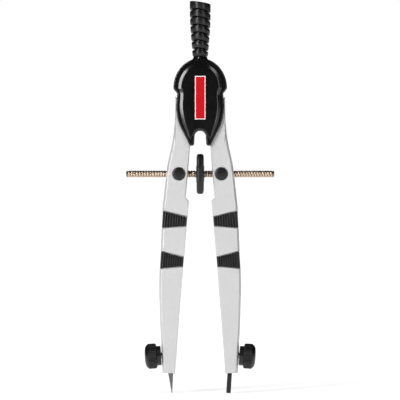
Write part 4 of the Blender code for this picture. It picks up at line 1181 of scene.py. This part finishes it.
class COMPASS_OT_legs(PieceOperator, bpy.types.Operator):
    """Model the two legs"""

    bl_idname = "compass.legs"
    bl_label = "Legs"

    def build(self, sizes, colours):
        material = leg_finish(colours)
        pattern = self.pattern(sizes)
        for label, side in SIDES:
            leg = again(pattern, label + "_leg_bar", leg_matrix(side))
            merge(leg, tongue_of(label + "_leg"))
            smooth(leg, 30)
            dress(leg, material, "leg_metal", label + "_leg", label + "_leg")
        bpy.data.objects.remove(pattern)

    def pattern(self, sizes):
        names = ("leg_head", "leg_middle", "leg_foot")
        head, between, foot = [
            rounded_block(name, outline, sizes) for name, outline in zip(names, leg_blocks())
        ]
        slot_half = SPINDLE_RADIUS + SLOT_PLAY
        carve(head, plate("spindle_slot", slot_outline(), -slot_half, slot_half))
        carve(head, self.button_bore())
        in_leg = leg_matrix(1).inverted() @ foot_matrix(1)
        socket = lathe("socket", [(SOCKET_RADIUS, -SOCKET_REACH), (SOCKET_RADIUS, SOCKET_REACH)], 40)
        carve(foot, place(socket, in_leg))
        run = [(CLAMP_BORE_RADIUS, 0), (CLAMP_BORE_RADIUS, CLAMP_BORE_LENGTH)]
        carve(foot, place(lathe("clamp_bore", run, 32), in_leg @ Z_TO_SIDE))
        waists = [self.waist(LEG_LENGTH * share) for _, share in BAND_SHARES]
        outer, inner = PIVOT.x + STUB_REACH, RECESS_REACH + TONGUE_OVERLAP
        top, foot_drop = STUB_DROPS
        corners = leg_points([(outer, top), (outer, foot_drop), (inner, foot_drop), (inner, top)])
        stub = plate("tongue_stub", corners, -TONGUE_HALF, TONGUE_HALF)
        return merge(head, between, foot, stub, *waists)

    def button_bore(self):
        """A bore through the leg whose two rims are chamfered."""
        wall = BUTTON_RADIUS + BUTTON_PLAY
        flare = wall + BORE_CHAMFER
        rim = LEG_HALF - BORE_CHAMFER
        half = [(wall, rim), (flare, LEG_HALF + SLIVER), (flare, LEG_HALF + OVERRUN)]
        profile = [(r, -h) for r, h in reversed(half)] + half
        (x, z), = leg_points([(NUT_REACH, NUT_DROP)])
        at = Matrix.Translation((x, 0, z)) @ Z_TO_BACK
        return place(lathe("button_bore", profile, 64), at)

    def waist(self, centre):
        """The thinner stretch that a rubber band sits on."""
        top = centre - BAND_OUTER_HEIGHT / 2 - OVERRUN / 2
        foot = centre + BAND_OUTER_HEIGHT / 2 + OVERRUN / 2
        outer = reach_at(centre) - BAND_DEPTH - OVERRUN / 2
        inner = LEG_INNER + BAND_DEPTH
        depth = LEG_HALF - BAND_DEPTH
        corners = [(inner, top), (outer, top), (outer, foot), (inner, foot)]
        return plate("waist", leg_points(corners), -depth, depth)


class COMPASS_OT_rubber_grips(PieceOperator, bpy.types.Operator):
    """Model the ribbed rubber bands round the legs"""

    bl_idname = "compass.rubber_grips"
    bl_label = "Rubber grips"

    def build(self, sizes, colours):
        material = rubber_finish(colours)
        for name, share in BAND_SHARES:
            pattern = self.band(LEG_LENGTH * share, sizes)
            for label, side in SIDES:
                node = "%s_%s_grip" % (label, name)
                band = again(pattern, node + "_band", leg_matrix(side))
                smooth(band, 30)
                dress(band, material, "rubber", label + "_leg", node)
            bpy.data.objects.remove(pattern)

    def band(self, centre, sizes):
        """A sleeve: its section is extruded down the leg, then its ends are slanted."""
        section = self.section(centre, sizes)
        bpy.ops.mesh.primitive_circle_add(vertices=len(section), radius=MM, fill_type="NGON")
        band = named("band")
        for point, (reach, y) in zip(band.data.vertices, section):
            point.co = (reach - PIVOT.x, y, 0)
        edit(band)
        bpy.ops.mesh.extrude_region_move(TRANSFORM_OT_translate={"value": (0, 0, -centre)})
        done()
        for point in band.data.vertices:
            reach = point.co.x + PIVOT.x
            end = -1 if point.co.z > -centre / 2 else 1
            drop = band_line(centre, end, reach, 0)
            point.co.z = -drop
            if reach > reach_at(centre) - BAND_RELIEF - NEARBY:
                point.co.x = reach_at(drop) - BAND_RELIEF - PIVOT.x
        edit(band)
        face_out()
        done()
        bevel(band, lambda e: any(len(f.verts) > 8 for f in e.link_faces), BAND_ROUNDING, 2)
        top = centre - BAND_OUTER_HEIGHT
        foot = centre + BAND_OUTER_HEIGHT
        inner = LEG_INNER + BAND_DEPTH - BAND_GAP
        outer = reach_at(centre) - BAND_DEPTH + BAND_GAP
        depth = LEG_HALF - BAND_DEPTH + BAND_GAP
        corners = [(inner, top), (outer, top), (outer, foot), (inner, foot)]
        carve(band, plate("core", leg_points(corners), -depth, depth))
        return band

    def section(self, centre, sizes):
        """Reach and depth round the sleeve: plain corners, and ribs across the two faces."""
        inner = LEG_INNER + BAND_RELIEF
        outer = reach_at(centre) - BAND_RELIEF
        depth = LEG_HALF - BAND_RELIEF
        near = sizes.leg_inner_bevel
        far = sizes.leg_bevel
        first, last = inner + near + 0.25 * MM, outer - far
        pitch = (last - first) / RIB_COUNT
        front = arc((inner + near, -depth + near), near, -math.pi, -math.pi / 2, 3)
        for rib in range(RIB_COUNT):
            start = first + rib * pitch
            for share, sink in RIB_SHARES:
                front.append((start + share * pitch, -depth + sink * sizes.rib_height))
        front.append((last + 0.02 * MM, -depth))
        side = arc((0, 0), 1, -math.pi / 2, 0, 8)[1:-1]
        front += [(outer - far + far * out, depth * back) for out, back in side]
        front.append((outer, -0.02 * depth))
        return front + [(reach, -y) for reach, y in reversed(front)]


class COMPASS_OT_buttons(PieceOperator, bpy.types.Operator):
    """Model the release buttons and the caps behind them"""

    bl_idname = "compass.buttons"
    bl_label = "Release buttons"

    def build(self, sizes, colours):
        material = bpy.data.materials["control_black"]
        button = self.button()
        cap = self.cap()
        for label, side in SIDES:
            at = Matrix.Translation((side * NUT_X, 0, SPINDLE_Z))
            made = again(button, label + "_button_face", at)
            dress(made, material, "control_plastic", label + "_button", label + "_release_button")
            made = again(cap, label + "_back_cap", at)
            dress(made, material, "control_plastic", label + "_nut_seat", label + "_spring_cap")
        bpy.data.objects.remove(button)
        bpy.data.objects.remove(cap)

    def button(self):
        r = BUTTON_RADIUS
        profile = [
            (r, -BUTTON_BACK),
            (r, BUTTON_FRONT - 0.42 * MM),
            (r - 0.05 * MM, BUTTON_FRONT - 0.3 * MM),
            (r - 0.16 * MM, BUTTON_FRONT - 0.22 * MM),
            (r * 0.8, BUTTON_FRONT - 0.13 * MM),
            (r * 0.5, BUTTON_FRONT - 0.04 * MM),
            (r * 0.2, BUTTON_FRONT),
        ]
        button = place(lathe("button", profile, 64), Z_TO_FRONT)
        seat = SPINDLE_RADIUS + 0.1 * MM
        window = arc((0, 0), seat, -math.pi, 0, 16) + arc((0, 1.1 * MM), seat, 0, math.pi, 16)
        tool = plate("window", window, -4 * MM, 4 * MM)
        across = Matrix.Rotation(math.pi / 2, 4, "Z") @ Z_TO_FRONT
        carve(button, place(tool, across))
        smooth(button, 40)
        return button

    def cap(self):
        edge = 0.25 * MM
        profile = [
            (CAP_RADIUS, CAP_FRONT),
            (CAP_RADIUS, CAP_BACK - edge),
            (CAP_RADIUS - edge * 0.3, CAP_BACK - edge * 0.3),
            (CAP_RADIUS - edge, CAP_BACK),
            (CAP_RADIUS * 0.6, CAP_BACK),
            (CAP_RADIUS * 0.6 - edge, CAP_BACK - edge),
        ]
        cap = place(lathe("cap", profile, 64), Z_TO_BACK)
        smooth(cap, 40)
        return cap


class COMPASS_OT_spindle(PieceOperator, bpy.types.Operator):
    """Model the spindle with its two opposite threads"""

    bl_idname = "compass.spindle"
    bl_label = "Spindle"

    def build(self, sizes, colours):
        root = SPINDLE_RADIUS - sizes.thread_depth
        tip = SPINDLE_HALF
        half = [
            (root, 0),
            (root, tip - 0.55 * MM),
            (SPINDLE_RADIUS - 0.05 * MM, tip - 0.5 * MM),
            (SPINDLE_RADIUS - 0.45 * MM, tip),
        ]
        profile = [(r, -h) for r, h in reversed(half[1:])] + half[1:]
        rod = lathe("spindle_rod", profile, 40)
        smooth(rod, 40)
        ridges = [self.ridge(sizes, side) for side in (-1, 1)]
        merge(rod, *ridges)
        at = Matrix.Translation((0, 0, SPINDLE_Z)) @ Z_TO_SIDE
        place(rod, at)
        dress(rod, bronze_finish(colours), "spindle_bronze", "spindle", "spindle")

    def ridge(self, sizes, side):
        """One half's ridge: a small rounded section swept up a helix by a Screw modifier."""
        pitch = sizes.thread_pitch
        end = SPINDLE_HALF - 0.45 * MM - pitch / 2
        turns = math.ceil((end - WHEEL_HUB_HALF - pitch / 2) / pitch)
        start = end - turns * pitch
        centre = SPINDLE_RADIUS - sizes.thread_depth
        corners = [(1, 0), (0.97, 0.14), (0.82, 0.26), (0.5, 0.36), (0.0, 0.44)]
        corners += [(-0.5, 0.47), (-0.5, -0.47)] + [(out, -along) for out, along in reversed(corners[1:])]
        bpy.ops.mesh.primitive_circle_add(vertices=len(corners), radius=1, fill_type="NOTHING")
        ridge = named("thread_ridge")
        for point, (out, along) in zip(ridge.data.vertices, corners):
            point.co = (centre + out * sizes.thread_depth, 0, side * start + along * pitch)
        modify(
            ridge,
            "SCREW",
            axis="Z",
            angle=2 * math.pi,
            screw_offset=side * pitch,
            iterations=turns,
            steps=28,
            render_steps=28,
            use_normal_calculate=True,
        )
        edit(ridge)
        pick("EDGE", lambda edge: edge.is_boundary)
        bpy.ops.mesh.fill_holes(sides=8)
        face_out()
        done()
        smooth(ridge, 30, weighted=False)
        return ridge


class COMPASS_OT_wheel(PieceOperator, bpy.types.Operator):
    """Model the knurled adjusting wheel"""

    bl_idname = "compass.wheel"
    bl_label = "Adjusting wheel"

    def build(self, sizes, colours):
        r, rim, hub = WHEEL_RADIUS, WHEEL_RIM_HALF, WHEEL_HUB_HALF
        half = [
            (WHEEL_BORE, hub - 0.1 * MM),
            (WHEEL_BORE + 0.1 * MM, hub),
            (WHEEL_HUB_RADIUS - 0.2 * MM, hub),
            (WHEEL_HUB_RADIUS, hub - 0.2 * MM),
            (WHEEL_HUB_RADIUS + 0.15 * MM, rim - 0.45 * MM),
            (r - 2.2 * MM, rim - 0.45 * MM),
            (r - 1.9 * MM, rim - 0.05 * MM),
            (r - 1.6 * MM, rim),
            (r - 0.75 * MM, rim - 0.1 * MM),
            (r - 0.3 * MM, rim - 0.35 * MM),
            (r - 0.08 * MM, rim - 0.7 * MM),
            (r, rim - 1.1 * MM),
        ]
        profile = [(radius, -height) for radius, height in half] + list(reversed(half))
        count = 2 * sizes.wheel_teeth
        wheel = lathe("knurled_wheel", profile, count, bored=True)
        knurl(wheel, count, r, sizes.knurl_depth, -hub, hub)
        smooth(wheel, 30, weighted=False)
        at = Matrix.Translation((0, 0, SPINDLE_Z)) @ Z_TO_SIDE
        place(wheel, at)
        dress(wheel, bpy.data.materials["control_black"], "control_plastic", "spindle", "adjusting_wheel")


class COMPASS_OT_clamps(PieceOperator, bpy.types.Operator):
    """Model the two clamp knobs"""

    bl_idname = "compass.clamps"
    bl_label = "Clamp knobs"

    def build(self, sizes, colours):
        material = bpy.data.materials["control_black"]
        pattern = self.knob(sizes)
        for label, side in SIDES:
            knob = again(pattern, label + "_knob_head", foot_matrix(side) @ Z_TO_SIDE)
            dress(knob, material, "control_plastic", label + "_knob", label + "_clamp_knob")
        bpy.data.objects.remove(pattern)

    def knob(self, sizes):
        """The knob along Z, its distances measured from the clamp's crossing with the socket."""
        into_foot = (foot_matrix(1) @ Z_TO_SIDE).inverted()
        corners = [into_foot @ vert.co for vert in frame["nodes"]["right_clamp_knob"].data.vertices]
        start = min(corner.z for corner in corners)
        end = max(corner.z for corner in corners)
        head = start + COLLAR_LENGTH
        r = KNOB_RADIUS
        profile = [
            (COLLAR_RADIUS - 0.3 * MM, start),
            (COLLAR_RADIUS, start + 0.25 * MM),
            (COLLAR_RADIUS, head),
            (r - 0.95 * MM, head),
            (r - 0.35 * MM, head + 0.25 * MM),
            (r, head + 0.7 * MM),
            (r, end - 1.75 * MM),
            (r - 0.2 * MM, end - 1.45 * MM),
            (r - 1.0 * MM, end - 0.6 * MM),
            (r - 1.6 * MM, end - 0.3 * MM),
            (r * 0.45, end - 0.08 * MM),
            (r * 0.2, end),
        ]
        count = 2 * sizes.knob_teeth
        knob = lathe("knob", profile, count)
        depth = sizes.knurl_depth * KNOB_KNURL_SHARE
        knurl(knob, count, r, depth, head + 0.2 * MM, end - 1.3 * MM)
        smooth(knob, 30, weighted=False)
        return knob


class COMPASS_OT_points(PieceOperator, bpy.types.Operator):
    """Model the needle and the lead"""

    bl_idname = "compass.points"
    bl_label = "Needle and lead"

    def build(self, sizes, colours):
        self.needle()
        self.lead()

    def span(self, node, side):
        """How far a piece reaches down and up its socket."""
        into_foot = foot_matrix(side).inverted()
        heights = [(into_foot @ vert.co).z for vert in frame["nodes"][node].data.vertices]
        return min(heights), max(heights)

    def needle(self):
        tip, top = self.span("needle", -1)
        shoulder = -CLAMP_HEIGHT
        r = NEEDLE_RADIUS
        profile = [
            (0.03 * MM, tip),
            (0.1 * MM, tip + 0.12 * MM),
            (0.16 * MM, tip + 0.5 * MM),
            (r * 0.93, shoulder - 0.35 * MM),
            (r, shoulder + 0.1 * MM),
            (r, top - 0.3 * MM),
            (r - 0.3 * MM, top),
        ]
        needle = lathe("steel_needle", profile, 40)
        smooth(needle, 30)
        place(needle, foot_matrix(-1))
        material = steel_finish("needle_steel", (0.16, 0.155, 0.15), 0.16, (1, 1, 0.08))
        dress(needle, material, "needle_steel", "needle", "needle")

    def lead(self):
        tip, top = self.span("lead", 1)
        r = LEAD_RADIUS
        lead = lathe("graphite_lead", [(r, tip), (r, top - 0.1 * MM), (r - 0.1 * MM, top)], 40)
        slope = (LEAD_CHISEL, 2 * r - LEAD_TIP)
        edit(lead)
        bpy.ops.mesh.bisect(
            plane_co=(LEAD_TIP - r, 0, tip),
            plane_no=(slope[0], 0, -slope[1]),
            clear_outer=True,
            use_fill=True,
        )
        face_out()
        done()
        bevel(lead, lambda e: len(e.link_faces) == 2 and e.calc_face_angle() > 0.6, LEAD_ROUNDING, 2)
        smooth(lead, 30)
        place(lead, foot_matrix(1))
        dress(lead, graphite_finish(), "graphite", "lead", "lead")


class COMPASS_OT_fasteners(PieceOperator, bpy.types.Operator):
    """Model the screws of the rear cover, and finish the steel pieces inside"""

    bl_idname = "compass.fasteners"
    bl_label = "Fasteners"

    def build(self, sizes, colours):
        turned = steel_finish("turned_steel", (0.5, 0.5, 0.51), 0.24, (1, 0.3, 1))
        stamped = steel_finish("stamped_steel", (0.46, 0.46, 0.47), 0.3, (1, 1, 1))
        for node in ("upper_cover_screw", "lower_cover_screw"):
            self.screw(node, turned)
        repaint(stamped, "yoke_block", "front_plate", "rear_plate", "left_clamp_jaw", "right_clamp_jaw")
        repaint(turned, "handle_stem", "wheel_hub", "left_pivot_pin", "right_pivot_pin")
        repaint(turned, "left_yoke_rivet", "right_yoke_rivet", "left_clamp_screw", "right_clamp_screw")
        for label, _ in SIDES:
            self.spring(label, turned)

    def spring(self, label, material):
        """A copy of the CAD spring with a mesh of its own, though the real spring shortens as its button is
        pressed in.
        """
        node = label + "_button_spring"
        spring = copy_of(node, node + "_coil")
        dress(spring, material, "steel", label + "_nut_seat", node)
        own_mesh(spring)

    def screw(self, node, material):
        low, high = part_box(node)
        r = SCREW_HEAD_RADIUS
        shank = 0.8 * MM
        head = high.y - 0.8 * MM
        profile = [
            (shank - 0.15 * MM, low.y),
            (shank, low.y + 0.2 * MM),
            (shank, head),
            (r, head),
            (r, high.y - 0.2 * MM),
            (r - 0.2 * MM, high.y - 0.04 * MM),
            (r * 0.5, high.y),
        ]
        at = Matrix.Translation((0, 0, (low.z + high.z) / 2)) @ Z_TO_BACK
        screw = place(lathe(node + "_head", profile, 40), at)
        bpy.ops.mesh.primitive_cube_add(
            size=1, location=(0, high.y, (low.z + high.z) / 2), scale=(4 * r, 0.8 * MM, 0.4 * MM)
        )
        carve(screw, named("slot"))
        smooth(screw, 30)
        dress(screw, material, "steel", "head", node)


class COMPASS_OT_stage(PieceOperator, bpy.types.Operator):
    """Set up the floor, the softboxes, the sky and the camera"""

    bl_idname = "compass.stage"
    bl_label = "Stage"

    def build(self, sizes, colours):
        scene = bpy.context.scene
        scene.view_settings.view_transform = "Standard"
        self.floor()
        self.sky(scene)
        for name, azimuth, elevation, width, height, power, in_gloss in SOFTBOXES:
            self.softbox(name, azimuth, elevation, width, height, power, in_gloss)
        self.camera(scene)

    def floor(self):
        """White to the camera, with a trace of the shadow that falls on it."""
        bpy.ops.mesh.primitive_plane_add(size=FLOOR_SIZE, location=(0, 0, CAD_BOUNDS[0][2]))
        floor = named("floor")
        made = Finish("floor_white", base_color=FLOOR_COLOUR, roughness=0.9, specular_ior_level=0.0)
        x, y, _ = made.axes()
        away = (x * x + y * y) ** 0.5
        near, far = FLOOR_GLOW
        glow = made.ramp(away, 0.0, FLOOR_LIT, near, far, "SMOOTHERSTEP")
        path = made.node("ShaderNodeLightPath")
        seen = [Shade(made, path.socket.node.outputs[name]) for name in PLAIN_RAYS]
        made.set("Emission Color", made.mix((seen[0] + seen[1] + seen[2]) * glow, (0, 0, 0), (1, 1, 1)))
        made.set("Emission Strength", 1.0)
        floor.data.materials.append(made.material)

    def sky(self, scene):
        """White to the camera, soft on the object, and dim in gloss except behind the object."""
        world = bpy.data.worlds.new("studio")
        scene.world = world
        world.use_nodes = True
        made = Finish.of_world(world)
        path = made.node("ShaderNodeLightPath")
        camera, glossy, clear = [Shade(made, path.socket.node.outputs[name]) for name in PLAIN_RAYS]
        split = made.node("ShaderNodeSeparateXYZ", None, {0: made.node("ShaderNodeTexCoord")})
        along_y = Shade(made, split.socket.node.outputs["Y"])
        behind = made.ramp(along_y, *SKY_BEHIND, SKY_GLOSS, 1.0, "SMOOTHSTEP")
        reflected = glossy + clear
        plain = (1.0 - camera - reflected) * SKY_LIGHT
        strength = camera + reflected * behind + plain
        made.tree.links.new(strength.socket, made.shader.inputs["Strength"])
        made.shader.inputs["Color"].default_value = (1, 1, 1, 1)

    def softbox(self, name, azimuth, elevation, width, height, power, in_gloss):
        """A soft rectangular lamp that looks at the middle of the compass."""
        a, e = math.radians(azimuth), math.radians(elevation)
        away = Vector((math.sin(a) * math.cos(e), -math.cos(a) * math.cos(e), math.sin(e)))
        bpy.ops.object.light_add(
            type="AREA",
            location=Vector((0, 0, CAMERA_Z)) + away * SOFTBOX_DISTANCE,
            rotation=away.to_track_quat("Z", "Y").to_euler(),
        )
        lamp = bpy.context.object
        lamp.name = name
        lamp.data.name = name
        lamp.data.shape = "RECTANGLE"
        lamp.data.size = width
        lamp.data.size_y = height
        lamp.data.energy = power
        lamp.visible_camera = False
        lamp.visible_glossy = in_gloss

    def camera(self, scene):
        bpy.ops.object.camera_add(
            location=(CAMERA_X, -CAMERA_DISTANCE, CAMERA_Z), rotation=(math.pi / 2, 0, 0)
        )
        camera = bpy.context.object
        camera.name = "camera"
        camera.data.sensor_width = SENSOR / MM
        camera.data.lens = CAMERA_DISTANCE * SENSOR / (PIXEL * PICTURE_PIXELS) / MM
        camera.data.clip_end = 20.0
        scene.camera = camera


ORDER = (
    COMPASS_OT_stage,
    COMPASS_OT_finger_grip,
    COMPASS_OT_covers,
    COMPASS_OT_neck,
    COMPASS_OT_badge,
    COMPASS_OT_legs,
    COMPASS_OT_rubber_grips,
    COMPASS_OT_buttons,
    COMPASS_OT_spindle,
    COMPASS_OT_wheel,
    COMPASS_OT_clamps,
    COMPASS_OT_points,
    COMPASS_OT_fasteners,
)


class COMPASS_PT_panel(bpy.types.Panel):
    """Sizes, colours and pieces of the compass"""

    bl_idname = "COMPASS_PT_panel"
    bl_label = "Drawing compass"
    bl_space_type = "VIEW_3D"
    bl_region_type = "UI"
    bl_category = "Compass"

    def draw(self, context):
        for group in (context.scene.compass_sizes, context.scene.compass_colours):
            box = self.layout.box()
            for key in group.__annotations__:
                box.prop(group, key)
        for operator in ORDER:
            self.layout.operator(operator.bl_idname)


CLASSES = (CompassSizes, CompassColours) + ORDER + (COMPASS_PT_panel,)


def register():
    for each in CLASSES:
        bpy.utils.register_class(each)
    bpy.types.Scene.compass_sizes = PointerProperty(type=CompassSizes)
    bpy.types.Scene.compass_colours = PointerProperty(type=CompassColours)


def unregister():
    del bpy.types.Scene.compass_colours
    del bpy.types.Scene.compass_sizes
    for each in reversed(CLASSES):
        bpy.utils.unregister_class(each)


def main():
    register()
    control_finish(bpy.context.scene.compass_colours)
    for operator in ORDER:
        family, name = operator.bl_idname.split(".")
        getattr(getattr(bpy.ops, family), name)()


if __name__ == "__main__":
    main()
